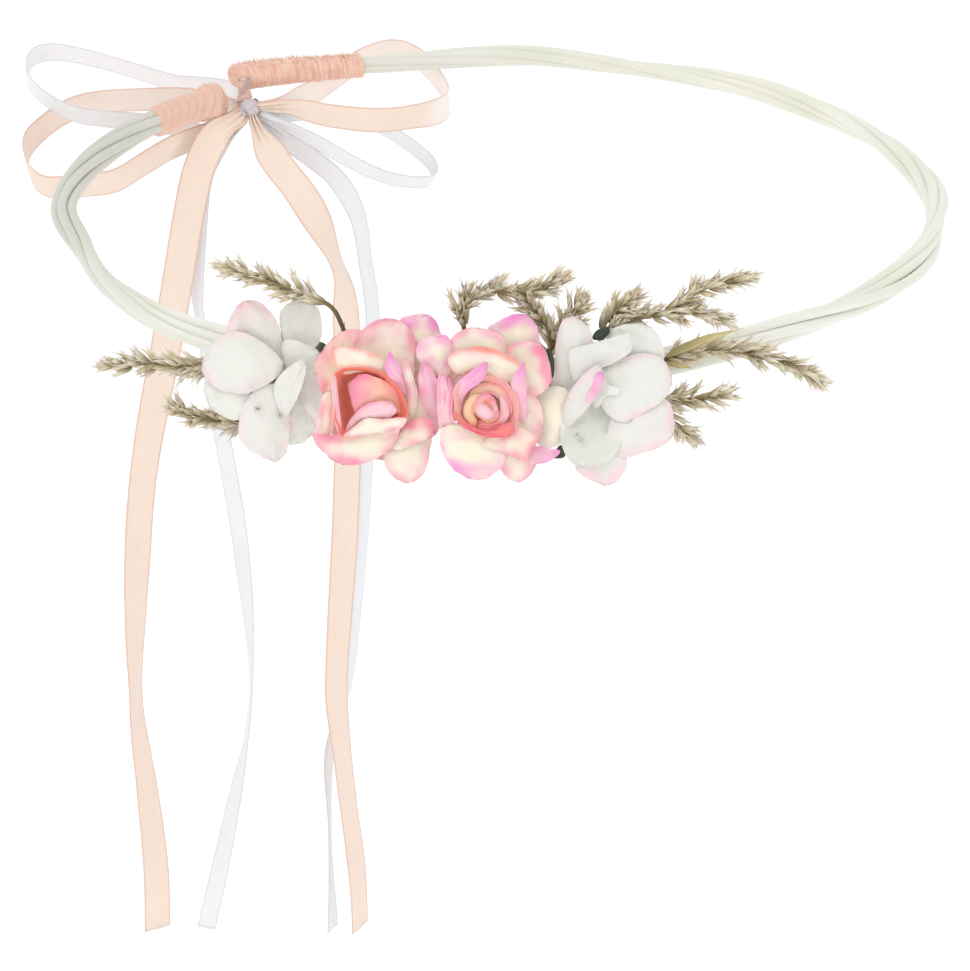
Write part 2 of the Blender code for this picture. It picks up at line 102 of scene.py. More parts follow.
class Nodes:
    """Short calls for building one material's nodes."""

    def __init__(self, name):
        self.material = bpy.data.materials.new(name)
        self.material.use_nodes = True
        self.tree = self.material.node_tree
        self.shader = self.tree.nodes["Principled BSDF"]

    def new(self, kind, inputs=None, **settings):
        made = self.tree.nodes.new(kind)
        for key, value in settings.items():
            setattr(made, key, value)
        for key, value in (inputs or {}).items():
            if isinstance(value, bpy.types.NodeSocket):
                self.tree.links.new(value, made.inputs[key])
            else:
                made.inputs[key].default_value = value
        return made

    def attribute(self, name, output):
        return self.new("ShaderNodeAttribute", attribute_name=name).outputs[output]

    def object_place(self):
        return self.new("ShaderNodeTexCoord").outputs["Object"]

    def step(self, value, low, high):
        inputs = {0: value, 1: low, 2: high}
        return self.new("ShaderNodeMapRange", inputs, interpolation_type="SMOOTHSTEP").outputs[0]

    def between(self, factor, low, high):
        return self.new("ShaderNodeMapRange", {0: factor, 3: low, 4: high}).outputs[0]

    def noise(self, vector, scale, detail=3.0, rough=0.55):
        inputs = {"Vector": vector, "Scale": scale, "Detail": detail, "Roughness": rough}
        return self.new("ShaderNodeTexNoise", inputs).outputs["Fac"]

    def streaks(self, across, along, detail=3.0, rough=0.55):
        """Noise laid out on the piece's own surface, with its fineness across and along it."""
        inputs = {"Vector": self.attribute("place", "Vector"), "Scale": (across, along, 0.0)}
        return self.noise(self.new("ShaderNodeMapping", inputs).outputs[0], 1.0, detail, rough)

    def mix(self, factor, a, b, blend="MIX"):
        made = self.new("ShaderNodeMix", data_type="RGBA", blend_type=blend)
        for index, value in ((0, factor), (6, a), (7, b)):
            if isinstance(value, bpy.types.NodeSocket):
                self.tree.links.new(value, made.inputs[index])
            elif index == 0:
                made.inputs[index].default_value = value
            else:
                made.inputs[index].default_value = (*value, 1.0)
        return made.outputs[2]

    def tinted(self, colour):
        """The colour multiplied by the mesh's own tint."""
        return self.mix(1.0, colour, self.attribute("tint", "Color"), "MULTIPLY")

    def shade(self, colour, factor, low, high):
        """The colour made darker or lighter by a factor from 0 to 1."""
        inputs = {0: colour, "Scale": self.between(factor, low, high)}
        return self.new("ShaderNodeVectorMath", inputs, operation="SCALE").outputs[0]

    def bump(self, height, distance, strength=1.0, normal=None):
        inputs = {"Height": height, "Distance": distance * MM, "Strength": strength}
        if normal is not None:
            inputs["Normal"] = normal
        return self.new("ShaderNodeBump", inputs).outputs[0]

    def finish(self, colour, roughness, normal=None, **constants):
        self.tree.links.new(colour, self.shader.inputs["Base Color"])
        if isinstance(roughness, bpy.types.NodeSocket):
            self.tree.links.new(roughness, self.shader.inputs["Roughness"])
        else:
            self.shader.inputs["Roughness"].default_value = roughness
        if normal is not None:
            self.tree.links.new(normal, self.shader.inputs["Normal"])
        for key, value in constants.items():
            self.shader.inputs[key.replace("_", " ")].default_value = value
        return self.material


def satin(name, face, selvedge):
    """Woven ribbon: fine threads along and across, darker selvedges, soft patches of light."""
    n = Nodes(name)
    parts = n.new("ShaderNodeSeparateXYZ", {0: n.attribute("place", "Vector")})
    across = n.new("ShaderNodeMath", {0: parts.outputs[2]}, operation="ABSOLUTE").outputs[0]
    lengthways = n.streaks(7.0, 0.35, 2.0)
    crossways = n.streaks(0.5, 6.0, 2.0)
    patches = n.streaks(0.16, 0.07)
    colour = n.mix(n.step(across, 0.84, 0.97), face, selvedge)
    colour = n.shade(colour, lengthways, 0.93, 1.06)
    colour = n.shade(colour, crossways, 0.96, 1.04)
    colour = n.tinted(n.shade(colour, patches, 0.94, 1.05))
    normal = n.bump(lengthways, 0.06, 0.6, n.bump(crossways, 0.05, 0.6))
    return n.finish(
        colour, n.between(patches, 0.36, 0.52), normal, Sheen_Weight=0.25, Sheen_Roughness=0.4,
        Specular_IOR_Level=0.5, Anisotropic=0.4,
    )


def cord_material(name, light, dark):
    """Smooth waxed cord with faint lengthwise streaks."""
    n = Nodes(name)
    streaks = n.streaks(1.6, 0.05, 4.0)
    clouds = n.streaks(0.3, 0.03)
    colour = n.mix(n.step(clouds, 0.35, 0.65), light, dark)
    colour = n.tinted(n.shade(colour, streaks, 0.93, 1.05))
    rough = n.between(streaks, 0.34, 0.5)
    return n.finish(colour, rough, n.bump(streaks, 0.12, 0.5), Coat_Weight=0.12, Coat_Roughness=0.3)


def paper(name):
    """Mulberry paper: the dye is in the mesh, with fibres, mottling and faint veins on top."""
    n = Nodes(name)
    spot = n.object_place()
    mottle = n.noise(spot, 420.0, 4.0)
    fibres = n.streaks(5.0, 0.9, 4.0, 0.65)
    grain = n.noise(spot, 2600.0, 3.0, 0.6)
    veins = n.streaks(1.3, 0.12, 2.0)
    colour = n.shade(n.attribute("tint", "Color"), mottle, 0.94, 1.05)
    colour = n.shade(colour, fibres, 0.965, 1.03)
    normal = n.bump(veins, 0.35, 0.5)
    normal = n.bump(fibres, 0.10, 0.5, normal)
    normal = n.bump(grain, 0.05, 0.6, normal)
    return n.finish(
        colour, 0.86, normal, Sheen_Weight=0.15, Sheen_Roughness=0.6, Specular_IOR_Level=0.25,
    )


def dry_plant(name):
    """Dried calyces and stems: colour from the mesh with lengthwise fibres."""
    n = Nodes(name)
    fibres = n.streaks(7.0, 0.8, 3.0, 0.6)
    blotches = n.noise(n.object_place(), 900.0)
    colour = n.shade(n.attribute("tint", "Color"), fibres, 0.78, 1.16)
    colour = n.shade(colour, blotches, 0.85, 1.12)
    normal = n.bump(fibres, 0.12, 0.8)
    return n.finish(colour, 0.82, normal, Specular_IOR_Level=0.25, Sheen_Weight=0.1)


def thread(name, light, dark, rough_low):
    """Wound sewing thread: each ply shows as a fine slanting line."""
    n = Nodes(name)
    plies = n.streaks(2.2, 2.2)
    patches = n.noise(n.object_place(), 380.0)
    colour = n.mix(n.step(patches, 0.35, 0.68), light, dark)
    colour = n.shade(colour, plies, 0.88, 1.08)
    rough = n.between(plies, rough_low, rough_low + 0.2)
    return n.finish(colour, rough, n.bump(plies, 0.08, 0.7), Sheen_Weight=0.35, Sheen_Roughness=0.35)


def tape_material(name):
    """Stretched florist's paper tape: crepe lines and a waxy dark green."""
    n = Nodes(name)
    crepe = n.streaks(1.0, 5.0, 4.0, 0.6)
    blotches = n.noise(n.object_place(), 500.0)
    colour = n.mix(n.step(blotches, 0.35, 0.65), (0.075, 0.10, 0.05), (0.15, 0.17, 0.085))
    colour = n.shade(colour, crepe, 0.7, 1.25)
    return n.finish(colour, 0.7, n.bump(crepe, 0.18, 0.8), Specular_IOR_Level=0.3)


# ---------------------------------------------------------------- mesh helpers


def unit(vector):
    return vector / np.linalg.norm(vector)


def smoothstep(t):
    t = min(1.0, max(0.0, t))
    return t * t * (3 - 2 * t)


def lerp(a, b, t):
    return tuple(x + (y - x) * t for x, y in zip(a, b))


def catmull_rom(a, b, c, d, t):
    """A point on the curve between b and c, with a and d as their neighbours."""
    linear = (c - a) * t
    square = (2 * a - 5 * b + 4 * c - d) * t**2
    cube = (3 * b - a - 3 * c + d) * t**3
    return b + 0.5 * (linear + square + cube)


def smooth_route(points, step):
    """Points about a step apart on a smooth curve through the route's own points."""
    route = np.array(points, float)
    padded = np.vstack([2 * route[0] - route[1], route, 2 * route[-1] - route[-2]])
    found = []
    for i in range(len(route) - 1):
        nearby = padded[i : i + 4]
        count = max(2, round(float(np.linalg.norm((nearby[2] - nearby[1])[:3])) / step))
        found += [catmull_rom(*nearby, t) for t in np.arange(count) / count]
    return np.array([*found, route[-1]])


def lengths_along(points):
    steps = np.linalg.norm(np.diff(points, axis=0), axis=1)
    return np.concatenate([[0.0], np.cumsum(steps)])


class Shape:
    """Gathers grids of points, each with a colour and a place on the surface, into one mesh."""

    def __init__(self):
        self.points = []
        self.faces = []
        self.tints = []
        self.places = []

    def grid(self, points, places, tints=None, around=False):
        """points[i][j] in millimetres; around joins the last column to the first."""
        rows, columns = len(points), len(points[0])
        base = len(self.points)
        for i in range(rows):
            for j in range(columns):
                self.points.append(tuple(float(v) * MM for v in points[i][j]))
                self.places.append(tuple(places[i][j]))
                self.tints.append(tints[i][j] if tints is not None else (1.0, 1.0, 1.0))
        for i in range(rows - 1):
            for j in range(columns if around else columns - 1):
                after = (j + 1) % columns
                low = base + i * columns
                high = low + columns
                self.faces.append((low + j, high + j, high + after, low + after))

    def tube(self, points, radii, sides, tint=(1.0, 1.0, 1.0), tints=None):
        """A round tube with closed ends, whose frame is carried along its points."""
        points = np.array(points, float)
        tangents = np.gradient(points, axis=0)
        along = lengths_along(points)
        first = unit(tangents[0])
        side = unit(np.cross(first, (0.31, 0.52, 0.79)))
        rows, places, colours = [], [], []
        for k in range(len(points)):
            tangent = unit(tangents[k])
            side = unit(side - tangent * float(side @ tangent))
            other = np.cross(tangent, side)
            ring, spots = [], []
            for s in range(sides):
                angle = 2 * math.pi * s / sides
                way = side * math.cos(angle) + other * math.sin(angle)
                ring.append(points[k] + radii[k] * way)
                spots.append((abs(s / sides - 0.5) * 2 * math.pi * max(radii), along[k], 0.0))
            rows.append(ring)
            places.append(spots)
            colours.append([tints[k] if tints is not None else tint] * sides)
        base = len(self.points)
        self.grid(rows, places, colours, around=True)
        last = base + (len(rows) - 1) * sides
        self.faces.append(tuple(base + s for s in range(sides)))
        self.faces.append(tuple(last + s for s in reversed(range(sides))))

    def make(self, name, material, thickness=0.0):
        """The mesh object; a thickness makes its sheets solid, half of it to each side."""
        mesh = bpy.data.meshes.new(name)
        mesh.from_pydata(self.points, [], self.faces)
        tint = mesh.color_attributes.new("tint", "FLOAT_COLOR", "POINT")
        values = np.ones((len(self.points), 4), np.float32)
        values[:, :3] = np.array(self.tints, np.float32)
        tint.data.foreach_set("color", values.ravel())
        place = mesh.attributes.new("place", "FLOAT_VECTOR", "POINT")
        place.data.foreach_set("vector", np.array(self.places, np.float32).ravel())
        mesh.polygons.foreach_set("use_smooth", [True] * len(mesh.polygons))
        mesh.materials.append(material)
        mesh.validate()
        mesh.update()
        obj = bpy.data.objects.new(name, mesh)
        bpy.context.scene.collection.objects.link(obj)
        if thickness:
            modifier = obj.modifiers.new("Thickness", "SOLIDIFY")
            modifier.thickness = thickness * MM
            modifier.offset = 0.0
        return obj


# ---------------------------------------------------------------- hoop

HOOP_RADIUS = 90.0
STRAND_DIAMETER = 2.08
STRAND_SPACING = 1.82
RIGHT_END_DEG = 131.0
LEFT_END_DEG = -226.0
RIGHT_WRAP_DEG = 20.5
LEFT_WRAP_DEG = 14.0
RIGHT_END_RISE = 3.8
LEFT_END_RISE = -1.6
RISE_ARC_DEG = 60.0
RIGHT_ROLL_DEG = 8.0
BUNDLE_TURN_DEG = 1162.0
# Where each strand lies in the bundle: along its row, and which of the two rows
STRAND_ROW = [(-1.0, -1), (0.0, -1), (1.0, -1), (-0.5, 1), (0.5, 1)]
# Stretches of the hoop as (middle, half arc, amount): how far it bulges outwards in millimetres,
# by what share its strands lie further apart, and how far it sags
HOOP_BULGES = [
    (65.0, 22.0, -1.6), (0.0, 40.0, 0.9), (-52.0, 18.0, -1.2), (-160.0, 16.0, -2.2), (-131.0, 16.0, 1.8),
]
LOOSE_STRETCHES = [(-38.0, 30.0, 0.16), (-185.0, 28.0, 0.12), (80.0, 70.0, -0.2), (108.0, 24.0, -0.16)]
SAGS = [(112.0, 31.0, 2.6)]


def bump(deg, middle, half_arc):
    return smoothstep(1 - abs(deg - middle) / half_arc)


def total(deg, stretches):
    return sum(amount * bump(deg, middle, half_arc) for middle, half_arc, amount in stretches)


def hoop_rise(deg):
    right = smoothstep(1 - (RIGHT_END_DEG - deg) / RISE_ARC_DEG)
    left = smoothstep(1 - (deg - LEFT_END_DEG) / RISE_ARC_DEG)
    return RIGHT_END_RISE * right + LEFT_END_RISE * left - total(deg, SAGS)


def section_frame(deg):
    """(middle, outward, upward) of the bundle's section at this hoop angle."""
    angle = math.radians(deg)
    outward = np.array([math.cos(angle), math.sin(angle), 0.0])
    middle = outward * (HOOP_RADIUS + total(deg, HOOP_BULGES))
    middle[2] = hoop_rise(deg)
    return middle, outward, np.array([0.0, 0.0, 1.0])


def section_roll(deg):
    start = RIGHT_END_DEG - RIGHT_WRAP_DEG
    end = LEFT_END_DEG + LEFT_WRAP_DEG
    share = min(1.0, max(0.0, (start - deg) / (start - end)))
    return math.radians(RIGHT_ROLL_DEG + BUNDLE_TURN_DEG * share)


def strand_offsets(deg):
    """Each strand's (outward, upward) place in the section."""
    spacing = STRAND_SPACING * (1 + total(deg, LOOSE_STRETCHES))
    half_row = spacing * math.sqrt(3) / 4
    roll = section_roll(deg)
    c, s = math.cos(roll), math.sin(roll)
    placed = [(along * spacing, row * half_row) for along, row in STRAND_ROW]
    return np.array([(c * a - s * b, s * a + c * b) for a, b in placed])


def bundle_point(deg, clock, clearance):
    """A point round the bundle at this hoop angle and clock angle, this far outside its strands."""
    middle, outward, upward = section_frame(deg)
    way = np.array([math.cos(clock), math.sin(clock)])
    far = float((strand_offsets(deg) @ way).max()) + STRAND_DIAMETER / 2 + clearance
    return middle + outward * way[0] * far + upward * way[1] * far


def beside_hoop(bearing, out, height):
    """A point this far outside the hoop, on a bearing from its front."""
    angle = math.radians(bearing)
    radius = HOOP_RADIUS + out
    return np.array([radius * math.sin(angle), -radius * math.cos(angle), height])


ivory_cord = cord_material("ivory_cord", (0.85, 0.845, 0.785), (0.78, 0.785, 0.68))
STRAND_STATIONS = 420
STRAND_SIDES = 14
STRAND_END_GAP_DEG = 0.8
STRAND_DRIFT = 0.35
for k in range(len(STRAND_ROW)):
    points, radii, tints = [], [], []
    ends = (RIGHT_END_DEG - STRAND_END_GAP_DEG, LEFT_END_DEG + STRAND_END_GAP_DEG)
    for deg in np.linspace(*ends, STRAND_STATIONS):
        middle, outward, upward = section_frame(deg)
        out, up = strand_offsets(deg)[k]
        drift = noise.noise((deg * 0.05, k * 9.3, 0.0)) * STRAND_DRIFT * bump(deg, -48.0, 150.0)
        points.append(middle + outward * (out + drift) + upward * (up - drift))
        radii.append(STRAND_DIAMETER / 2 * (1 + 0.05 * noise.noise((deg * 0.11, k * 3.1, 5.0))))
        # The cord is greyer towards the left end and near the right one, and yellower at the right
        cord_tone = 1 - 0.22 * smoothstep((-125 - deg) / 45) - 0.08 * bump(deg, 95.0, 70.0)
        tints.append((cord_tone, cord_tone, cord_tone * (1 - 0.05 * bump(deg, 60.0, 60.0))))
    strand = Shape()
    strand.tube(points, radii, STRAND_SIDES, tints=tints)
    obj = strand.make(f"strand_{k + 1}", ivory_cord)
    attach(obj, "crown")
    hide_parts(f"hoop_strand_{k + 1}")

# ---------------------------------------------------------------- wound ends and tapes


def wound_band(shape, first_deg, last_deg, width, pitch, clearance, lift, wrinkle, seed):
    """A flat band wound round the bundle, each turn lapping over the one before."""
    steps_a_turn, columns = 30, 8
    length = abs(math.radians(last_deg - first_deg)) * HOOP_RADIUS
    turns = max(1.0, (length - width) / pitch)
    steps = round(turns * steps_a_turn)
    rows, places = [], []
    for i in range(steps + 1):
        clock = 2 * math.pi * turns * i / steps
        row, spots = [], []
        for j in range(columns):
            share = j / (columns - 1)
            reach = (length - width) * i / steps + width * share
            deg = first_deg + (last_deg - first_deg) * reach / length
            fold = noise.noise((clock * 0.9, share * 2.5, seed)) * wrinkle
            ridge = noise.noise((clock * 0.35, share * 9.0, seed + 4.0)) * wrinkle * 0.5
            row.append(bundle_point(deg, clock, clearance + lift * (1 - share) + fold + ridge))
            spots.append((width * (share - 0.5), clock * 3.0, 2 * share - 1))
        rows.append(row)
        places.append(spots)
    shape.grid(rows, places)


peach_satin = satin("peach_satin", (0.88, 0.72, 0.61), (0.82, 0.55, 0.44))
peach_wrap = satin("peach_wrap", (0.81, 0.52, 0.41), (0.68, 0.38, 0.29))
white_satin = satin("white_satin", (0.83, 0.83, 0.855), (0.70, 0.70, 0.74))
knot_satin = satin("knot_satin", (0.62, 0.56, 0.60), (0.55, 0.46, 0.48))
peach_thread = thread("peach_thread", (0.95, 0.67, 0.54), (0.89, 0.54, 0.42), 0.38)
brown_thread = thread("brown_thread", (0.93, 0.63, 0.53), (0.55, 0.40, 0.37), 0.6)

# The left end: a sleeve of flat ribbon, wound on in four laps side by side
SLEEVE_STARTS = 4
SLEEVE_LAP = 2.7
SLEEVE_ROWS = 130
SLEEVE_COLUMNS = 72
END_LIP_INSET = 3.2
left_wrap = Shape()
rows, places = [], []
sleeve_length = math.radians(LEFT_WRAP_DEG) * HOOP_RADIUS
for i in range(SLEEVE_ROWS + 1):
    reach = sleeve_length * i / SLEEVE_ROWS
    to_end = sleeve_length - reach
    deg = LEFT_END_DEG + LEFT_WRAP_DEG - math.degrees(reach / HOOP_RADIUS)
    lip = math.exp(-(((to_end - END_LIP_INSET) / 2.6) ** 2))
    swell = 0.5 * smoothstep(reach / 2.0) - 0.15 + 0.95 * lip
    # Both ends close in towards the middle of the bundle
    closing = (0.25 + 0.75 * min(1.0, to_end / 0.8) ** 0.4) * min(1.0, 0.3 + reach / 0.8)
    centre, _, _ = section_frame(deg)
    row, spots = [], []
    for j in range(SLEEVE_COLUMNS):
        clock = 2 * math.pi * j / SLEEVE_COLUMNS
        turn = SLEEVE_STARTS * clock / (2 * math.pi)
        lap = (reach / SLEEVE_LAP + turn + 0.25 * math.sin(clock + 1.0)) % 1.0
        crease = noise.noise((reach * 0.8 + clock * 0.9, math.sin(clock) * 1.2, 4.0)) * 0.16
        fine = noise.noise((lap * 5.0, clock * 0.8, 9.0)) * 0.16
        rise = swell + 0.42 * lap * (1 - smoothstep((lap - 0.9) / 0.1)) + crease + fine
        row.append(centre + (bundle_point(deg, clock, rise) - centre) * closing)
        spots.append((lap * SLEEVE_LAP - SLEEVE_LAP / 2, clock * 3.0, 1.9 * lap - 0.97))
    rows.append(row)
    places.append(spots)
left_wrap.grid(rows, places, around=True)
left_wrap_obj = left_wrap.make("left_wrap", peach_wrap, thickness=0.1)
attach(left_wrap_obj, "crown")
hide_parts("left_end_wrap")

# The right end: a coil of thread over a closed core, with short hairs standing off it
THREAD_DIAMETER = 0.42
THREAD_SPREAD = 1.15
SIDES_A_TURN = 26
END_TURNS = 8
CORE_ROWS = 40
CORE_COLUMNS = 36
HAIRS = 700
right_wrap = Shape()
turns = round(math.radians(RIGHT_WRAP_DEG) * HOOP_RADIUS / (THREAD_DIAMETER * 0.92))
coil = []
for i in range((turns + END_TURNS) * SIDES_A_TURN):
    clock = 2 * math.pi * i / SIDES_A_TURN
    turn = i / SIDES_A_TURN
    # The first turns wind in over the end of the bundle, then the coil runs along it
    shrink = max(0.0, 1 - turn / END_TURNS)
    deg = RIGHT_END_DEG - RIGHT_WRAP_DEG * max(0.0, turn - END_TURNS) / turns
    wander = noise.noise((turn * 0.37, math.sin(clock) * 0.4, 3.0)) * 0.35
    rise = 0.55 + 0.2 * noise.noise((turn * 0.9, math.cos(clock) * 0.3, 8.0))
    point = bundle_point(deg + math.degrees(wander / HOOP_RADIUS), clock, rise)
    centre, _, _ = section_frame(deg)
    coil.append(centre + (point - centre) * (1 - shrink) ** 0.7)
rows, places = [], []
for i in range(CORE_ROWS + 1):
    deg = RIGHT_END_DEG - RIGHT_WRAP_DEG * i / CORE_ROWS
    clocks = [2 * math.pi * j / CORE_COLUMNS for j in range(CORE_COLUMNS)]
    rows.append([bundle_point(deg, clock, THREAD_DIAMETER) for clock in clocks])
    places.append([(j * 0.3, i * 0.8, 0.0) for j in range(CORE_COLUMNS)])
right_wrap.grid(rows, places, around=True)
right_wrap.tube(coil, [THREAD_DIAMETER / 2 * THREAD_SPREAD] * len(coil), 6)
rng = random.Random(5)
for _ in range(HAIRS):
    deg = RIGHT_END_DEG - RIGHT_WRAP_DEG * rng.random()
    clock = rng.uniform(-0.3, 2.4)
    root = bundle_point(deg, clock, 0.65)
    away = unit(root - section_frame(deg)[0])
    lean = np.array([rng.uniform(-0.6, 0.6), rng.uniform(-0.6, 0.6), rng.uniform(-0.4, 0.5)])
    tip = root + away * rng.uniform(0.35, 0.95) + lean * 0.5
    middle = (root + tip) / 2 + np.array([rng.uniform(-0.15, 0.15) for _ in range(3)])
    right_wrap.tube([root, middle, tip], [0.055, 0.045, 0.02], 3)
right_wrap_obj = right_wrap.make("right_wrap", peach_thread)
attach(right_wrap_obj, "crown")
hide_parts("right_end_wrap")

# The florist's tape under the flowers, one length for each rose
TAPE_FIRST_BEARING = -28.5
TAPE_PITCH_DEG = 12.5
TAPE_ARCS_DEG = (15.2, 15.2, 15.2, 8.6)
green_tape = tape_material("green_tape")
for k, arc_deg in enumerate(TAPE_ARCS_DEG):
    tape = Shape()
    start = TAPE_FIRST_BEARING + k * TAPE_PITCH_DEG - 90
    wound_band(
        tape, start + arc_deg, start, width=4.5, pitch=2.2, clearance=0.15, lift=0.35, wrinkle=0.22,
        seed=20.0 + k,
    )
    obj = tape.make(f"tape_{k + 1}", green_tape, thickness=0.14)
    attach(obj, "crown")
    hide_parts(f"stem_tape_{k + 1}")

# ---------------------------------------------------------------- bow

KNOT_DEG = 132.3
KNOT_INSET = 6.7
KNOT_HEIGHT = -3.0
KNOT_HALF_AXES = (2.3, 2.3, 2.1)
LASHING_INSET = 5.0
LASHING_HEIGHT = 1.7
PEACH_WIDTH = 7.2
WHITE_WIDTH = 4.6
PINCHED_SHARE = 0.3
PINCH_LENGTH = 14.0

# Loops: width, the way that the ribbon lies across its course, and the course from the knot and back
LOOPS = {
    "peach_loop_left": (
        PEACH_WIDTH,
        (-0.05, -0.45, 0.9),
        [
            (-57.5, 62.5, -2.0), (-61.5, 70.5, -5.0), (-70.5, 73.5, -4.5), (-80.5, 70.5, -3.5),
            (-92.0, 68.5, -3.7), (-99.0, 66.0, -5.2), (-104.3, 59.0, -7.5), (-106.0, 51.0, -9.0),
            (-104.5, 46.0, -12.5), (-100.5, 44.0, -15.0), (-92.5, 45.0, -15.0), (-85.5, 47.0, -14.5),
            (-79.5, 52.5, -12.5), (-74.0, 58.5, -11.0), (-66.0, 64.5, -9.5), (-57.5, 63.0, -3.5),
        ],
    ),
    "white_loop_left": (
        WHITE_WIDTH,
        (0.0, -0.35, 0.94),
        [
            (-57.0, 63.5, -1.5), (-59.5, 73.0, -2.5), (-65.5, 78.5, -3.0), (-75.0, 79.5, -2.5),
            (-84.0, 79.0, 0.5), (-94.5, 78.0, 4.0), (-102.5, 76.0, 6.0), (-106.5, 71.0, 6.0),
            (-106.5, 64.5, 3.5), (-102.0, 59.5, 0.5), (-95.5, 57.5, -2.5), (-88.5, 59.5, -4.5),
            (-81.0, 63.5, -6.5), (-74.0, 67.0, -9.0), (-66.0, 68.5, -10.5), (-56.5, 64.0, -5.0),
        ],
    ),
    "peach_loop_right": (
        PEACH_WIDTH,
        (0.0, -0.42, 0.91),
        [
            (-54.5, 62.5, -2.5), (-48.5, 69.0, -4.0), (-42.0, 79.0, -4.5), (-36.5, 88.5, -3.5),
            (-31.5, 95.5, -2.0), (-25.0, 98.5, -1.0), (-19.0, 98.0, -2.5), (-14.0, 93.5, -6.0),
            (-11.0, 84.0, -7.5), (-12.0, 73.0, -6.5), (-17.0, 62.5, -4.5), (-26.0, 57.5, -4.0),
            (-36.0, 57.0, -3.0), (-46.0, 58.5, -1.5), (-54.0, 61.0, -2.0),
        ],
    ),
    "white_loop_right": (
        WHITE_WIDTH,
        (0.3, -0.5, 0.81),
        [
            (-54.5, 63.0, -3.5), (-48.5, 67.5, -6.5), (-42.0, 69.5, -6.5), (-34.5, 69.5, -7.0),
            (-27.5, 68.5, -9.0), (-20.0, 66.5, -13.0), (-14.5, 63.5, -17.0), (-14.5, 60.5, -19.5),
            (-19.0, 59.0, -19.5), (-26.0, 59.0, -18.0), (-33.0, 60.0, -15.0), (-40.5, 61.5, -11.0),
            (-47.5, 62.5, -7.5), (-54.0, 62.0, -4.0),
        ],
    ),
}

# Tails: width, body, and the course down from the knot with the ribbon's turn in degrees at each point
TAILS = {
    "peach_tail_left": (
        PEACH_WIDTH,
        "tails_left",
        [
            (-58.5, 60.0, -4.5, 0), (-63.5, 58.0, -7.5, 0), (-67.5, 58.5, -15.0, 0),
            (-70.5, 59.0, -26.0, 0), (-76.5, 59.0, -55.5, 0), (-84.0, 59.0, -90.0, 25),
            (-87.5, 59.0, -118.0, 35), (-90.0, 59.0, -157.5, 70), (-88.5, 59.0, -184.5, 52),
            (-87.5, 59.0, -207.5, 35), (-88.0, 59.0, -227.0, 30),
        ],
    ),
    "white_tail_left": (
        WHITE_WIDTH,
        "tails_left",
        [
            (-57.5, 61.5, -5.5, 0), (-62.5, 61.3, -10.5, 0), (-67.0, 61.5, -18.0, 0),
            (-69.0, 61.5, -29.0, 0), (-70.0, 61.5, -45.5, -40), (-69.5, 61.5, -56.5, -55),
            (-65.5, 61.5, -86.0, -25), (-62.0, 61.5, -119.0, -30), (-61.0, 61.5, -152.0, -75),
            (-63.0, 61.5, -170.5, -75), (-66.0, 61.5, -186.0, -50), (-71.0, 61.5, -209.0, -20),
            (-75.5, 61.5, -228.5, 0),
        ],
    ),
    "peach_tail_right": (
        PEACH_WIDTH,
        "tails_right",
        [
            (-55.0, 59.6, -5.0, 0), (-53.0, 58.0, -9.0, 0), (-49.5, 57.8, -15.0, 0),
            (-43.5, 58.0, -24.0, 10), (-37.0, 58.0, -38.5, 74), (-35.0, 58.0, -53.5, 35),
            (-35.5, 58.0, -90.0, 30), (-37.0, 58.0, -117.5, 30), (-39.0, 58.0, -142.5, 40),
            (-39.5, 58.0, -157.0, 45), (-38.5, 58.0, -171.5, 55), (-37.5, 58.0, -186.5, 58),
            (-35.5, 58.0, -207.0, 58), (-35.0, 58.0, -226.0, 58),
        ],
    ),
    "white_tail_right": (
        WHITE_WIDTH,
        "tails_right",
        [
            (-54.0, 64.0, -6.0, 0), (-48.5, 65.5, -11.5, 0), (-42.0, 65.8, -16.5, 0),
            (-36.5, 65.3, -21.5, 0), (-32.0, 64.0, -30.0, 40), (-30.5, 63.5, -40.5, 50),
            (-29.0, 63.2, -58.5, 50), (-31.0, 63.2, -92.5, 50), (-33.0, 63.2, -120.0, 55),
            (-37.0, 63.2, -154.5, 55), (-42.0, 63.2, -175.0, 60), (-42.5, 63.2, -200.5, 85),
            (-42.5, 63.2, -230.0, 60),
        ],
    ),
}
# How narrow each tail is at the knot, as a share of its width, and the length over which it opens
TAIL_PINCHES = {
    "peach_tail_left": (0.6, 9.0),
    "white_tail_left": (0.4, 12.0),
    "peach_tail_right": (0.35, 9.0),
    "white_tail_right": (0.35, 12.0),
}


def at_knot(inset, height):
    angle = math.radians(KNOT_DEG)
    radius = HOOP_RADIUS - inset
    return np.array([radius * math.cos(angle), radius * math.sin(angle), height])


# CAD's knot, the seat and half axes of the drawn one, and the lashing
KNOT_CENTRE = at_knot(KNOT_INSET, KNOT_HEIGHT)
KNOT_SEAT = KNOT_CENTRE + np.array([0.2, 0.0, 0.6])
KNOT_SHAPE = np.array([2.3, 2.1, 1.95])
LASHING_CENTRE = at_knot(LASHING_INSET, LASHING_HEIGHT)


def clear_of_knot(points):
    """The course without what lies deep in the knot."""
    away = np.linalg.norm((points[:, :3] - KNOT_CENTRE) / np.array(KNOT_HALF_AXES), axis=1)
    return points[away >= 0.55]


def opened(lengths, least=PINCHED_SHARE, reach=PINCH_LENGTH):
    """The share of a ribbon's width at these lengths from the knot."""
    rise = np.array([smoothstep(v / reach) for v in lengths])
    return least + (1 - least) * rise


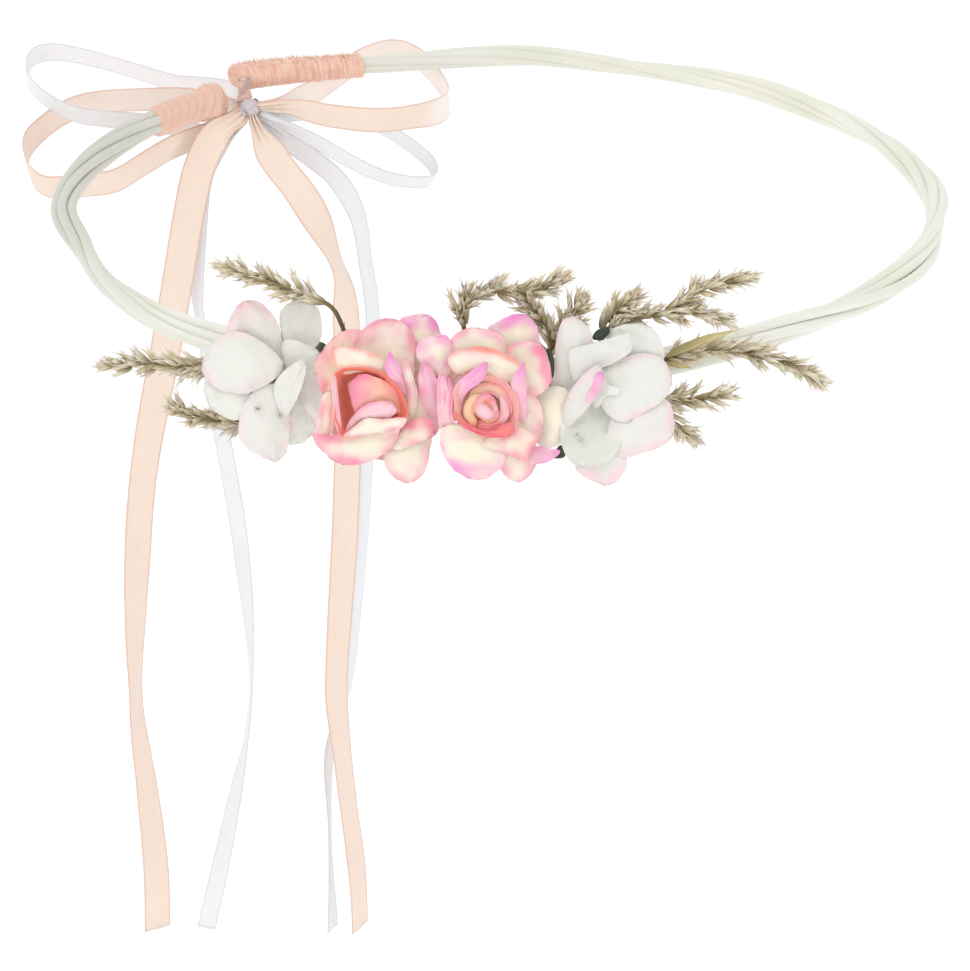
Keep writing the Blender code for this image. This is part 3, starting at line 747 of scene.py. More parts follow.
def ribbon(name, middles, acrosses, width, shares, material, seed, tints=None):
    """A thin woven strip, gathered into lengthwise folds where it is pinched."""
    tangents = np.gradient(middles, axis=0)
    along = lengths_along(middles)
    columns, gathers = 17, 3
    rows, places = [], []
    for k in range(len(middles)):
        tangent = unit(tangents[k])
        side = unit(acrosses[k] - tangent * float(acrosses[k] @ tangent))
        face = np.cross(tangent, side)
        gather = min(1.0, (1 - shares[k]) / (1 - PINCHED_SHARE))
        row, spots = [], []
        for j in range(columns):
            x = 2 * j / (columns - 1) - 1
            fold = 0.75 * gather * math.cos(gathers * math.pi * x + seed)
            crown = 0.10 * (1 - x * x) * (1 - gather)
            ripple = noise.noise((along[k] * 0.06, x * 1.2, seed)) * 0.28 * (1 - gather)
            reach = x * width / 2 * shares[k]
            row.append(middles[k] + side * reach + face * (fold + crown + ripple))
            spots.append((x * width / 2, along[k], x))
        rows.append(row)
        places.append(spots)
    shape = Shape()
    shape.grid(rows, places, [[tint] * columns for tint in tints] if tints else None)
    return shape.make(name, material, thickness=0.14)


ROUTE_STEP = 1.2
# Each width's satin, and its tint on the far side of a loop, where light comes through
SATINS = {
    PEACH_WIDTH: (peach_satin, (1.1, 1.2, 1.3)),
    WHITE_WIDTH: (white_satin, (1.12, 1.13, 1.12)),
}
BACKLIT_FROM = 60.0
BACKLIT_OVER = 14.0


for index, (name, (width, across, route)) in enumerate(LOOPS.items()):
    middles = clear_of_knot(smooth_route(route, ROUTE_STEP))
    along = lengths_along(middles)
    shares = np.minimum(opened(along), opened(along[-1] - along))
    satin_kind, paler = SATINS[width]
    backlit = [smoothstep((y - BACKLIT_FROM) / BACKLIT_OVER) for y in middles[:, 1]]
    tints = [lerp((1.0, 1.0, 1.0), paler, share) for share in backlit]
    acrosses = [np.array(across)] * len(middles)
    obj = ribbon(f"{name}_ribbon", middles, acrosses, width, shares, satin_kind, index, tints)
    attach(obj, "crown")
    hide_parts(name)

for index, (name, (width, body, route)) in enumerate(TAILS.items()):
    stations = clear_of_knot(smooth_route(route, ROUTE_STEP))
    middles, turned = stations[:, :3], np.radians(stations[:, 3])
    acrosses = np.stack([np.cos(turned), np.sin(turned), np.zeros(len(stations))], axis=1)
    along = lengths_along(middles)
    shares = opened(along, *TAIL_PINCHES[name])
    # Two more stations lead the ribbon into the knot
    lead = [lerp(KNOT_SEAT, middles[0], t) for t in (0.3, 0.65)]
    lead_shares = shares[0] * np.array([0.5, 0.75])
    obj = ribbon(
        f"{name}_ribbon", np.vstack([lead, middles]), np.vstack([acrosses[:1], acrosses[:1], acrosses]),
        width, np.concatenate([lead_shares, shares]), SATINS[width][0], 10 + index,
    )
    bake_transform(obj)
    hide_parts(name)

# The white knot: a pleated ball with two laps of ribbon drawn over it
BALL_ROWS = 24
BALL_COLUMNS = 40
# Laps: tilt in degrees, width, how far out they lie, and the arc that they cover
KNOT_LAPS = ((62.0, 3.0, 1.06, -150, 80), (-38.0, 2.6, 1.13, -175, 60))
LAP_ROWS = 40
LAP_COLUMNS = 9
knot = Shape()
rows, places = [], []
for i in range(BALL_ROWS + 1):
    polar = math.pi * (0.02 + 0.96 * i / BALL_ROWS)
    row, spots = [], []
    for j in range(BALL_COLUMNS):
        turn = 2 * math.pi * j / BALL_COLUMNS
        pleat = 1 + 0.05 * math.sin(7 * turn + 3 * math.cos(polar)) * math.sin(polar)
        round_way = np.array([math.cos(turn), math.sin(turn), 0.0])
        way = round_way * math.sin(polar) + np.array([0.0, 0.0, math.cos(polar)])
        row.append(KNOT_SEAT + way * KNOT_SHAPE * pleat * 0.97)
        spots.append((turn * 2, polar * 2, 0.0))
    rows.append(row)
    places.append(spots)
knot.grid(rows, places, around=True)
for tilt_deg, width, lift, first, last in KNOT_LAPS:
    tilt = math.radians(tilt_deg)
    axis = unit(np.array([math.sin(tilt), 0.25, math.cos(tilt)]))
    start = unit(np.cross(axis, (0.0, 1.0, 0.0)))
    other = np.cross(axis, start)
    rows, places = [], []
    for deg in np.linspace(first, last, LAP_ROWS):
        angle = math.radians(deg)
        way = start * math.cos(angle) + other * math.sin(angle)
        row, spots = [], []
        for j in range(LAP_COLUMNS):
            x = 2 * j / (LAP_COLUMNS - 1) - 1
            spot = unit(way + axis * x * width / (2 * KNOT_HALF_AXES[0]))
            row.append(KNOT_SEAT + spot * KNOT_SHAPE * (lift + 0.05 * math.cos(3 * x + angle)))
            spots.append((x * width / 2, angle * KNOT_HALF_AXES[0], x))
        rows.append(row)
        places.append(spots)
    knot.grid(rows, places)
knot_obj = knot.make("knot", knot_satin, thickness=0.12)
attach(knot_obj, "crown")
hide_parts("bow_knot")

# The lashing over it: untidy turns of thread round a core
LASHING_TURNS = 15
LASHING_HEIGHT_SPAN = 4.6
LASHING_THREAD = 0.34
LASHING_CORE = 1.9
lashing = Shape()
coil = []
steps = LASHING_TURNS * 22
for i in range(steps):
    share = i / steps
    clock = 2 * math.pi * LASHING_TURNS * share
    waist = 1.0 + 0.35 * (2 * share - 1) ** 2
    jitter = 0.12 * noise.noise((clock * 0.4, 2.0, 1.0))
    height = (share - 0.5) * LASHING_HEIGHT_SPAN + 0.5 * math.sin(clock + 1.0) * (0.4 + jitter)
    place = np.array([1.35 * math.cos(clock), 1.5 * math.sin(clock), 0.0]) * (waist + jitter)
    coil.append(LASHING_CENTRE + place * 0.92 + np.array([0.0, 0.0, height]))
lashing.tube(coil, [LASHING_THREAD / 2] * len(coil), 6)
half_height = LASHING_HEIGHT_SPAN / 2
core = [LASHING_CENTRE + np.array([0.0, 0.0, h]) for h in np.linspace(-half_height, half_height, 9)]
lashing.tube(core, [LASHING_CORE / 2] * len(core), 16)
lashing_obj = lashing.make("lashing", brown_thread)
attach(lashing_obj, "crown")
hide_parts("knot_lashing")

# ---------------------------------------------------------------- roses

ROSE_BEARINGS = (-23.4, -11.9, -0.5, 10.0)
ROSE_HEIGHTS = (1.5, 0.3, 1.6, 0.2)
ROSE_MIDDLE_OUT = 14.2
FLOWERS_FACE = np.array([0.0, -571.5, 218.7])

CREAM = (0.94, 0.885, 0.72)
WHITE = (0.81, 0.81, 0.76)
# A darker grey-green copy of the white paper: painted shade, not a colour of the paper
PAINTED_SHADE = (0.75, 0.76, 0.69)
PINK = (0.94, 0.32, 0.45)
PALE_PINK = (0.95, 0.62, 0.68)
PEACH = (0.95, 0.62, 0.44)
CORAL = (0.92, 0.27, 0.20)
MAGENTA = (0.88, 0.16, 0.28)
LILAC = (0.91, 0.36, 0.66)
LEAF = (0.05, 0.075, 0.045)
STAMEN = (0.66, 0.66, 0.61)

# Dyes: the paper, the rim's colour, its width in millimetres and its strength, then the colour of a wash
# from the tip and its strength. The 'shade' entry is painted shade: a darker grey-green paper for petals
# in shadow
DYES = {
    "white": (WHITE, WHITE, 1.0, 0.0, PAINTED_SHADE, 0.0),
    # Painted shade: darkest at the petal's base, lighter towards its rim and tip
    "shade": (PAINTED_SHADE, WHITE, 2.5, 0.6, WHITE, 0.5),
    "white_tip": (WHITE, PALE_PINK, 1.8, 0.55, PALE_PINK, 0.45),
    "white_blush": (WHITE, PALE_PINK, 1.6, 0.5, WHITE, 0.0),
    "blush": (WHITE, PALE_PINK, 2.4, 0.6, PALE_PINK, 0.25),
    "cream": (CREAM, WHITE, 2.0, 0.6, WHITE, 0.4),
    "pink_rim": (CREAM, PINK, 2.4, 0.95, LILAC, 0.3),
    "pale_rim": (CREAM, PINK, 2.3, 0.65, LILAC, 0.3),
    "lilac_rim": (CREAM, LILAC, 2.9, 1.0, PINK, 0.25),
    "lilac": (PALE_PINK, LILAC, 2.0, 0.75, LILAC, 0.75),
    "coral_rim": (CREAM, CORAL, 1.2, 0.75, PALE_PINK, 0.6),
    "coral_edge": (CREAM, PINK, 2.3, 0.9, CORAL, 0.35),
    "coral": (PALE_PINK, CORAL, 1.7, 0.9, PINK, 0.6),
    "magenta_tip": (CREAM, PINK, 1.6, 0.8, MAGENTA, 0.75),
    "deep": (CORAL, MAGENTA, 1.4, 0.85, CORAL, 0.3),
    "bud": (PEACH, PINK, 1.8, 0.85, PINK, 0.95),
    "bud_pale": (PALE_PINK, PINK, 0.7, 0.6, PALE_PINK, 0.5),
    "pink_cream": (CREAM, PINK, 1.0, 0.7, PALE_PINK, 0.5),
    "flame": (PALE_PINK, PINK, 0.9, 0.9, LILAC, 0.5),
    "peach_swirl": (PEACH, PINK, 0.8, 0.7, PINK, 0.9),
    "tan_swirl": ((0.98, 0.68, 0.44), CORAL, 0.6, 0.6, PEACH, 0.5),
    "leaf": (LEAF, LEAF, 1.0, 0.0, LEAF, 0.0),
}

# Petals of each rose as seen from its front, in millimetres from its middle. Each is its heading,
# how far forward its base and its tip lie, how far its middle stands out, its dye, and its outline.
PETALS = [
    [
        (114, -2.8, -0.6, 0.7, "white_tip", [
            (-7.1, 8.6), (-5.8, 11.9), (-3.7, 14), (-1, 13.8), (1.1, 11.9), (2.6, 8.9), (2.9, 5),
            (2.3, 2.9), (-1.9, 3.2), (-5.2, 6.2)]),
        (80, -2.8, -0.8, -0.9, "white", [
            (2.6, 10.4), (3.2, 12.5), (5.3, 13.5), (8, 13.4), (9.8, 11.6), (10.1, 8.6), (9.4, 5.9),
            (7.1, 4.4), (4.7, 4.2), (3.2, 7.1)]),
        (215, -1.8, -2.2, 0.6, "white", [
            (-11.3, -0.4), (-11, -3.4), (-9.4, -5.7), (-5.8, -7.3), (-2.8, -5.8), (-1.9, -2.8),
            (-4.9, 0), (-8.5, 0.6)]),
        # A lower petal in painted shade
        (290, -1.4, -3.4, 0.3, "shade", [
            (2.9, -7.6), (3.2, -11.5), (3.8, -12.1), (5.9, -11.7), (7.7, -10.3), (8.8, -9), (8.5, -6.4),
            (7.1, -3.6), (5.3, -2.6), (3, -4.2)]),
        (290, -1.2, -1.2, 0.9, "white_blush", [
            (7.1, 2.2), (9.4, 0.9), (10.2, -2.2), (11.6, -5.8), (12, -8.5), (11, -10.6), (8.9, -10.3),
            (7.4, -7.6), (6, -4.6), (5.6, -1)]),
        (268, -0.8, -2.6, 0.7, "white_blush", [
            (-5.3, -7.3), (-5.5, -10), (-4.3, -12.1), (-1.9, -13.8), (0.8, -15), (2.6, -13.9),
            (3.4, -11.5), (3.8, -9.1), (3.6, -5), (1.6, -1.2), (-1.8, -1.4), (-4.3, -4.6)]),
        (40, -1.6, 0.3, 0.8, "white", [
            (3, 6.2), (4.7, 6.8), (7.1, 5.9), (9.2, 4.6), (9.9, 2.3), (8.6, 0.8), (5.6, 0.9),
            (3, 2.2)]),
        (180, 0.4, -1.2, 2.6, "white_blush", [
            (-11.6, 2.3), (-10.6, 5.3), (-8.2, 7.8), (-5.2, 8.7), (-1.9, 7.4), (1.1, 5), (2.8, 2.9),
            (2, 0.5), (-0.7, -1.3), (-4, -2.5), (-7.3, -2.2), (-10, -0.7)]),
        (30, -0.4, 3.6, 0.5, "white", [
            (6.7, 3.2), (6.8, 0.8), (5.9, -2.2), (4.7, -4.6), (2.9, -7), (1.7, -5.2), (1.1, -2.8),
            (1.4, -0.7), (3.2, 1.4), (5, 2.6)]),
    ],
    [
        (70, -3.4, -1.8, 0.5, "lilac_rim", [
            (4.3, 14), (6.4, 14.8), (8.8, 15), (10.6, 13.9), (11.5, 11.6), (11.2, 7.7), (8.8, 5.3),
            (6.4, 5.3), (4.6, 8.8)]),
        (140, -2.6, -1, 0.6, "coral_edge", [
            (-10.7, 4.7), (-10.9, 6.8), (-9.5, 8.9), (-7.4, 11.3), (-5, 12.5), (-2.6, 12.3),
            (-1.4, 10.1), (-1.4, 5.3), (-4, 1.3), (-7.4, -1.9), (-9.2, 0), (-10.1, 2.3)]),
        (85, -2, -0.4, -1.1, "pink_rim", [
            (-3.8, 8.3), (-3.5, 10.4), (-2, 12.8), (0.7, 14.2), (3.7, 14), (5.8, 12.5), (6.9, 10.1),
            (6.9, 6.8), (6, 3), (0.7, 2.5), (-2.3, 5.3)]),
        (278, -1.6, -2.8, 0.8, "pale_rim", [
            (1.1, -10), (1.4, -12.1), (2.8, -14), (4.9, -14.9), (7, -14.3), (8.5, -12.4), (9.1, -9.4),
            (9.4, -6.2), (6.1, -5), (2.6, -6.6)]),
        (310, -1.6, -1.6, 0.5, "pale_rim", [
            (5, 0), (8, 1), (10.8, -2), (11, -5), (9, -7.2), (5.4, -6.4), (4, -3)]),
        (200, -1.4, -1.8, 0.5, "pale_rim", [
            (-9.6, 1), (-10.6, -2.6), (-10.8, -5.8), (-9, -7), (-7.9, -5), (-7.7, -1), (-8.2, 1.4)]),
        (30, -0.6, 1.4, 0.7, "magenta_tip", [
            (2.2, -8.5), (3.1, -6.3), (4.9, -4.7), (7.3, -3.4), (9.4, -3.7), (9.8, -5.2), (8.8, -7),
            (6.4, -8), (4, -8.9)]),
        (265, 1, -0.8, 1, "pink_rim", [
            (-11.6, -5.5), (-9.8, -6.1), (-6.8, -6), (-3.8, -4.9), (-0.2, -4.4), (3.6, -4.5),
            (3.4, -6.7), (1.8, -9.1), (-1.1, -10.7), (-4.4, -11.5), (-7.4, -11), (-9.8, -9.1),
            (-11.2, -7.3)]),
        (95, 0.6, 1.6, 0.8, "coral_rim", [
            (-8.1, 8.9), (-7.1, 9.5), (-4.4, 9.3), (-1.4, 8.6), (0.7, 7.7), (1.9, 6.2), (1.8, 4.4),
            (-0.2, 4.8), (-3.2, 5), (-5.9, 4.7), (-7.6, 6.8)]),
        (95, -1.2, 3.2, 0.3, "flame", [
            (7.3, 3.5), (7.7, 5.3), (8.6, 6.3), (10, 4.7), (10.9, 2.3), (11.2, -0.7), (10.9, -4.6),
            (9.2, -3.1), (8, -0.7)]),
        (95, -1, 3, 0.2, "pink_cream", [
            (4.6, 7.1), (5.5, 6.4), (6.7, 2.9), (7.1, 0.5), (6.4, -3.4), (5.5, -2.2), (5.4, 1.7),
            (4.8, 4.4)]),
        (120, -0.4, 4, 0.2, "lilac", [
            (1.6, 6.8), (2.3, 8.3), (3.6, 6.5), (5, 3.8), (6.2, 1), (4.9, 0.8), (2.9, 2.9), (1.6, 5)]),
        (130, -0.6, 1.8, 1.1, "bud", [
            (-4.9, 1.7), (-4.4, 3.5), (-2.6, 4.6), (-0.5, 4.1), (2.2, 2.8), (4.1, 0.1), (4.7, -1.9),
            (3.1, -2.6), (0.7, -1.6), (-2, -1.8), (-3.9, -2.4)]),
        (60, 0.6, 2.6, 0.8, "bud_pale", [
            (-5.8, -5.8), (-5, -3.7), (-3.5, -1.9), (-1.7, -0.7), (0.7, -0.3), (2.8, -0.8), (3.2, -2.2),
            (1.9, -3.4), (-0.2, -3.4), (-2.6, -3.6), (-4.4, -5)]),
        (280, 2.6, 3, 0.3, "pink_cream", [
            (-6.2, -6.3), (-4.4, -4.9), (-2, -3.3), (1, -3.5), (4.8, -3.3), (4.2, -5), (0.7, -5.8),
            (-3.8, -6.4)]),
        (90, 1.4, 3.8, 0.2, "bud_pale", [
            (-7.8, 3.5), (-7.3, 4.2), (-7, 1.1), (-6.6, -3), (-6.5, -5.8), (-7.2, -5.4), (-7.8, -1.9)]),
    ],
    [
        (85, -1.6, -0.6, 0.9, "lilac_rim", [
            (-13.6, 7.4), (-13.3, 9.8), (-11.8, 10.8), (-9.7, 11.1), (-7.8, 10.7), (-7, 8), (-7.3, 5.9),
            (-8.4, 3.8), (-11.2, 4.6), (-12.7, 6.2)]),
        (75, -2.8, -1, -0.9, "lilac_rim", [
            (-1, 12.3), (1.1, 13.7), (3.5, 14.8), (5.9, 14.6), (7.4, 13.1), (8.2, 10.7), (8, 8),
            (4.4, 7), (0.6, 9.4)]),
        (95, -1.8, -1, 0.5, "pale_rim", [
            (-7.2, 10.8), (-4.9, 12.2), (-2.2, 12.4), (0.5, 11.6), (2.2, 10.1), (2.6, 7.6), (1.1, 6.4),
            (-1.9, 6.6), (-5.2, 6.2), (-7.8, 7.4)]),
        (30, -2, 0, -1, "pink_rim", [
            (2.4, 8.7), (4.7, 9.9), (7.1, 9.9), (8.9, 8.7), (9.9, 6.2), (10.2, 3.2), (8.9, 1.3),
            (6.2, -0.2), (4, 0), (2.6, 4.4)]),
        (285, -1.8, -2.8, 0.6, "pale_rim", [
            (1.1, -12.1), (2.6, -14.2), (4.7, -14.8), (6.8, -13.3), (7.8, -10.9), (7.3, -8),
            (4.1, -7.6), (1.2, -9)]),
        (350, -1.8, -1.2, 0.5, "pale_rim", [
            (3.4, 0.4), (7, 0.6), (8.6, -2), (8.4, -6), (6.6, -8), (3, -6.6), (2.4, -2)]),
        (5, -1.2, 0.5, 0.4, "lilac", [
            (6.3, -9.6), (7.8, -8.5), (9.5, -8.9), (11.7, -9.3), (10.4, -10.8), (8.6, -11.5),
            (6.6, -11.4)]),
        (262, 0.2, -1.4, 1, "lilac_rim", [
            (-9.5, -6.4), (-9, -9.4), (-7.3, -12.3), (-4.9, -13.9), (-2.2, -14.4), (0.2, -13.3),
            (1.9, -11.2), (2.2, -8.4), (-0.7, -6.9), (-3.7, -5.4), (-6.7, -4.6), (-8.7, -5.2)]),
        (95, -0.6, 1.8, 0.3, "flame", [
            (-8.2, 3.8), (-7, 1.4), (-7.2, -2.8), (-6.3, -5.5), (-8.2, -6.1), (-9.3, -4), (-9.5, 0.5)]),
        (95, -0.6, 2.6, 0.3, "flame", [
            (-9.8, 3.6), (-8.6, 4.2), (-8, 1.4), (-8.2, -2.6), (-9.5, -5.4), (-9.9, -1)]),
        (95, 0.4, 1.6, 0.9, "coral_rim", [
            (-8.1, 7.1), (-6.1, 8.4), (-3.1, 9.1), (-0.1, 8.7), (2.9, 7.4), (4.8, 5.9), (4.5, 4.1),
            (2.9, 2.8), (1.1, 2.8), (-1, 3.4), (-3.7, 4.4), (-6.7, 4.4)]),
        (90, -0.8, 3.8, 0.3, "lilac", [
            (2.9, 0.8), (3.2, 3.2), (4.4, 5.3), (5.3, 6.3), (5.7, 3.2), (5.9, -1), (5.7, -4.3),
            (4.4, -3.4), (3.2, -1.2)]),
        (340, 0.8, 1.8, 0.7, "coral_edge", [
            (-1.9, -7.8), (0.5, -6.2), (3.5, -5.1), (5.9, -5.6), (7.8, -7.3), (6.9, -8.8), (5.6, -11),
            (3.5, -10.3), (1.1, -9.3), (-0.7, -8.8)]),
        (330, 0.8, 1.2, 0.3, "peach_swirl", [
            (-4.3, -0.6), (-3.8, 1.5), (-1.7, 2.7), (0.9, 2.5), (2.6, 1), (3.3, -1.4), (2.9, -3.6),
            (2, -2.8), (1.5, -1), (0.3, 0.4), (-1.4, 0.9), (-2.9, 0.2)]),
        (232, 1.5, 1.3, 0.3, "coral", [
            (1.2, 0.5), (2.3, -0.9), (2.7, -3), (1.5, -4.8), (-0.7, -5.6), (-2.9, -5), (-2.3, -3.9),
            (-0.4, -4.1), (0.9, -3.2), (1.2, -1.8)]),
        (265, 1.3, 1.7, 0.2, "tan_swirl", [
            (-2.2, 0.8), (-4, 0.3), (-5.2, -1.5), (-5, -3.6), (-3.4, -5), (-2.9, -3.9), (-3.5, -2.7),
            (-3.4, -1.4), (-2.6, -0.4)]),
        (75, 1.2, 2.1, 0.8, "bud", [
            (-3.5, -2.2), (-3.1, -0.2), (-1.4, 0.8), (0.1, 0.1), (0.6, -1.3), (1, -3), (-0.6, -4.3),
            (-2.2, -3.6)]),
        (40, 2.6, 3.2, 0.2, "bud_pale", [
            (-3, -2.1), (-2.2, -0.9), (-1, -1.6), (0.1, -2.7), (-0.7, -3.6), (-2.1, -3.2)]),
        (130, 2.4, 2.8, 0.2, "coral", [
            (0.4, -2.4), (0.5, -1.2), (-0.5, -0.3), (-1.7, -0.5), (-0.8, -1), (-0.2, -1.8)]),
        (55, -0.6, 4.2, 0.3, "lilac", [
            (-7.7, -2.8), (-7.5, 0.2), (-6.4, 2.6), (-4, 4.7), (-1.3, 6.5), (-1.1, 5), (-2.2, 2.9),
            (-4.5, 1.2), (-5.6, -0.7), (-6.5, -2.8), (-7.3, -3.8)]),
        (300, 2.8, 3, 0.2, "deep", [
            (-6.7, -2.2), (-5.2, -3.9), (-3.1, -5.3), (-0.7, -5.7), (1.1, -4.9), (2.9, -4.2),
            (3.6, -5.5), (2.6, -6.6), (-0.1, -6.9), (-2.8, -6.3), (-5.2, -5), (-6.6, -3.6)]),
        (80, -2.4, -1.8, 0.2, "leaf", [
            (9.5, 8.8), (10.3, 8), (10.8, 5.9), (10.5, 3.6), (9.7, 5.1), (9.3, 7.1)]),
    ],
    [
        (60, -2.4, -1.8, 0.7, "white", [
            (1, 12.5), (4.5, 13.8), (7.5, 13.7), (9.8, 12.2), (10.8, 9.9), (10.9, 7.4), (7.8, 6.4),
            (4, 6.6), (1.4, 9.6)]),
        (95, -2.4, -0.8, 0.9, "white_blush", [
            (-8.5, 3.4), (-8.3, 7.5), (-8, 10.8), (-7.2, 13.8), (-5.7, 15), (-3.9, 14.5), (-2.4, 13.1),
            (-1.6, 11.1), (-2, 7.5), (-4.1, 3.6), (-6.2, 1.2)]),
        (275, -1.6, -2.6, 0.6, "blush", [
            (-4.2, -11.2), (-3.3, -12.9), (-1.2, -14.1), (1.5, -14.9), (3.6, -13.5), (4.9, -10.8),
            (3.6, -7.9), (-1.2, -8.1)]),
        (330, -1, -1.4, 1, "blush", [
            (2, -2.9), (6.9, -1), (9.9, 1), (12.3, -0.1), (13.1, -3.3), (12.6, -6.3), (10.2, -8.1),
            (7.5, -9), (4.2, -9.9), (1.2, -8.7)]),
        (185, -1, -1, 0.6, "cream", [
            (-12.8, -1.5), (-12.3, 0.6), (-10.5, 2.1), (-8.1, 2.7), (-5.9, 1.9), (-4.9, -0.3),
            (-5.7, -3.3), (-6.2, -6.3), (-7.8, -8.1), (-10.2, -8.3), (-11.9, -5.7)]),
        (10, -0.2, -0.4, 1.5, "white_blush", [
            (0, 5.4), (3.9, 7.8), (7.5, 8.7), (10.5, 8), (12.2, 5.4), (12.5, 2.7), (10.5, 0),
            (7.5, -1.9), (4.2, -3.6), (1, -2), (-0.6, 1.6)]),
        # The cup's inside, in painted shade
        (265, -1.6, 0.4, -1.5, "shade", [
            (-7.1, -4.3), (-4.8, -2.7), (-1.8, -0.3), (1.2, 0.6), (3.8, -1.8), (3.9, -6.3), (2.3, -9.8),
            (-1.2, -11.5), (-4.2, -11.3), (-6.4, -8.7)]),
        (30, 0, 1.6, 1, "white", [
            (-5.6, 8.9), (-2.4, 10.1), (1.2, 11.1), (5.1, 12.1), (5.4, 10.5), (4.8, 8.6), (1.8, 6.7),
            (-0.9, 5.6), (-3, 4.1), (-4.8, 3.5), (-5.6, 6.3)]),
        (60, -0.4, 2.6, 0.5, "white", [
            (-0.2, 4.8), (0.7, 4.2), (1.6, 2.9), (3.2, 2.6), (3, 1.1), (1.2, 0.9), (-0.6, -1.1),
            (-1.9, 0.5), (-0.8, 2.9)]),
        (60, -0.8, 3.6, 0.8, "white_blush", [
            (-7.1, -4.2), (-6.5, -0.9), (-5, 2.4), (-3, 4.8), (-1.2, 6.2), (0, 6), (0.7, 4.2), (0, 2.1),
            (-1.8, -0.6), (-3.9, -3), (-6, -4.8)]),
        (60, 2.6, 4.1, 0.4, "lilac", [
            (-2.6, 0.1), (-1.6, 2.9), (-0.9, 5), (0.2, 5), (0.4, 4.1), (-0.2, 2.2), (-1.4, 0.1)]),
        (20, -2, -1.6, 0.2, "leaf", [(-1.7, 11.2), (-0.9, 12.6), (0.9, 13.3), (1.3, 12.2), (-0.2, 11)]),
        (250, -2.4, -2.6, 0.2, "leaf", [(-8.2, -10), (-7.3, -8), (-6.1, -8.4), (-6.4, -10)]),
    ],
]
# The cups of roses 2 and 3: how far forward the rim and the floor lie, the floor's share of the rim,
# the floor's and the rim's colours, and the rim's outline
CUPS = {
    1: (2.4, -2.2, 0.55, (0.97, 0.36, 0.24), (0.97, 0.22, 0.16), [
        (-7.6, 3.5), (-7, 5.1), (-4.4, 5.8), (-2.3, 5.6), (0.7, 4.8), (3.3, 2.6), (5.1, -0.7),
        (5.1, -3.1), (3.9, -5), (-0.8, -5.4), (-5, -6), (-6.4, -6.3), (-7.6, -2.5)]),
    2: (2.4, -0.2, 0.6, (1.0, 0.60, 0.52), (0.97, 0.45, 0.42), [
        (-6.4, 2), (-4.9, 3.2), (-2.5, 3.9), (-0.1, 3.8), (2.4, 2.6), (4.2, -0.4), (4.3, -3.7),
        (3.1, -6), (-0.1, -6.9), (-3.1, -6.2), (-5.9, -4.2), (-6.9, -1)]),
}
# Bunches of stamens in roses 1 and 4, by their place
STAMENS = {0: [(-1.9, -5.4, 1.0), (1.7, -6.7, 0.8)], 3: [(-3.9, -6.0, 0.6), (-3.3, -6.9, 0.4)]}
STAMENS_A_BUNCH = 7
BACK_PETALS = 7
PALE_ROSES = (0, 3)


def rose_frame(k):
    """(middle, right, up, facing) of a rose, in millimetres, facing where its front is."""
    bearing = math.radians(ROSE_BEARINGS[k])
    outward = np.array([math.sin(bearing), -math.cos(bearing), 0.0])
    middle = outward * (HOOP_RADIUS + ROSE_MIDDLE_OUT)
    middle[2] = ROSE_HEIGHTS[k]
    facing = unit(FLOWERS_FACE - middle)
    right = unit(np.cross((0.0, 0.0, 1.0), facing))
    return middle, right, np.cross(facing, right), facing


def closed_curve(outline, samples):
    """A smooth closed curve through the outline, with the slight unevenness of a hand-cut edge."""
    points = np.array(outline, float)
    curve = []
    for i in range(len(points)):
        nearby = [points[(i + shift) % len(points)] for shift in (-1, 0, 1, 2)]
        curve += [catmull_rom(*nearby, j / samples) for j in range(samples)]
    curve = np.array(curve)
    middle = curve.mean(axis=0)
    for i, spot in enumerate(curve):
        uneven = 0.038 * noise.noise((*spot * 1.1, 7.0))
        torn = 0.022 * noise.noise((*spot * 2.3, 3.0))
        curve[i] = middle + (spot - middle) * (1 + uneven + torn)
    return curve


def resampled(points, count):
    """The same line with this many points, evenly spaced."""
    points = np.array(points)
    along = lengths_along(points)
    wanted = np.linspace(0, along[-1], count)
    return np.stack([np.interp(wanted, along, points[:, axis]) for axis in range(2)], axis=1)


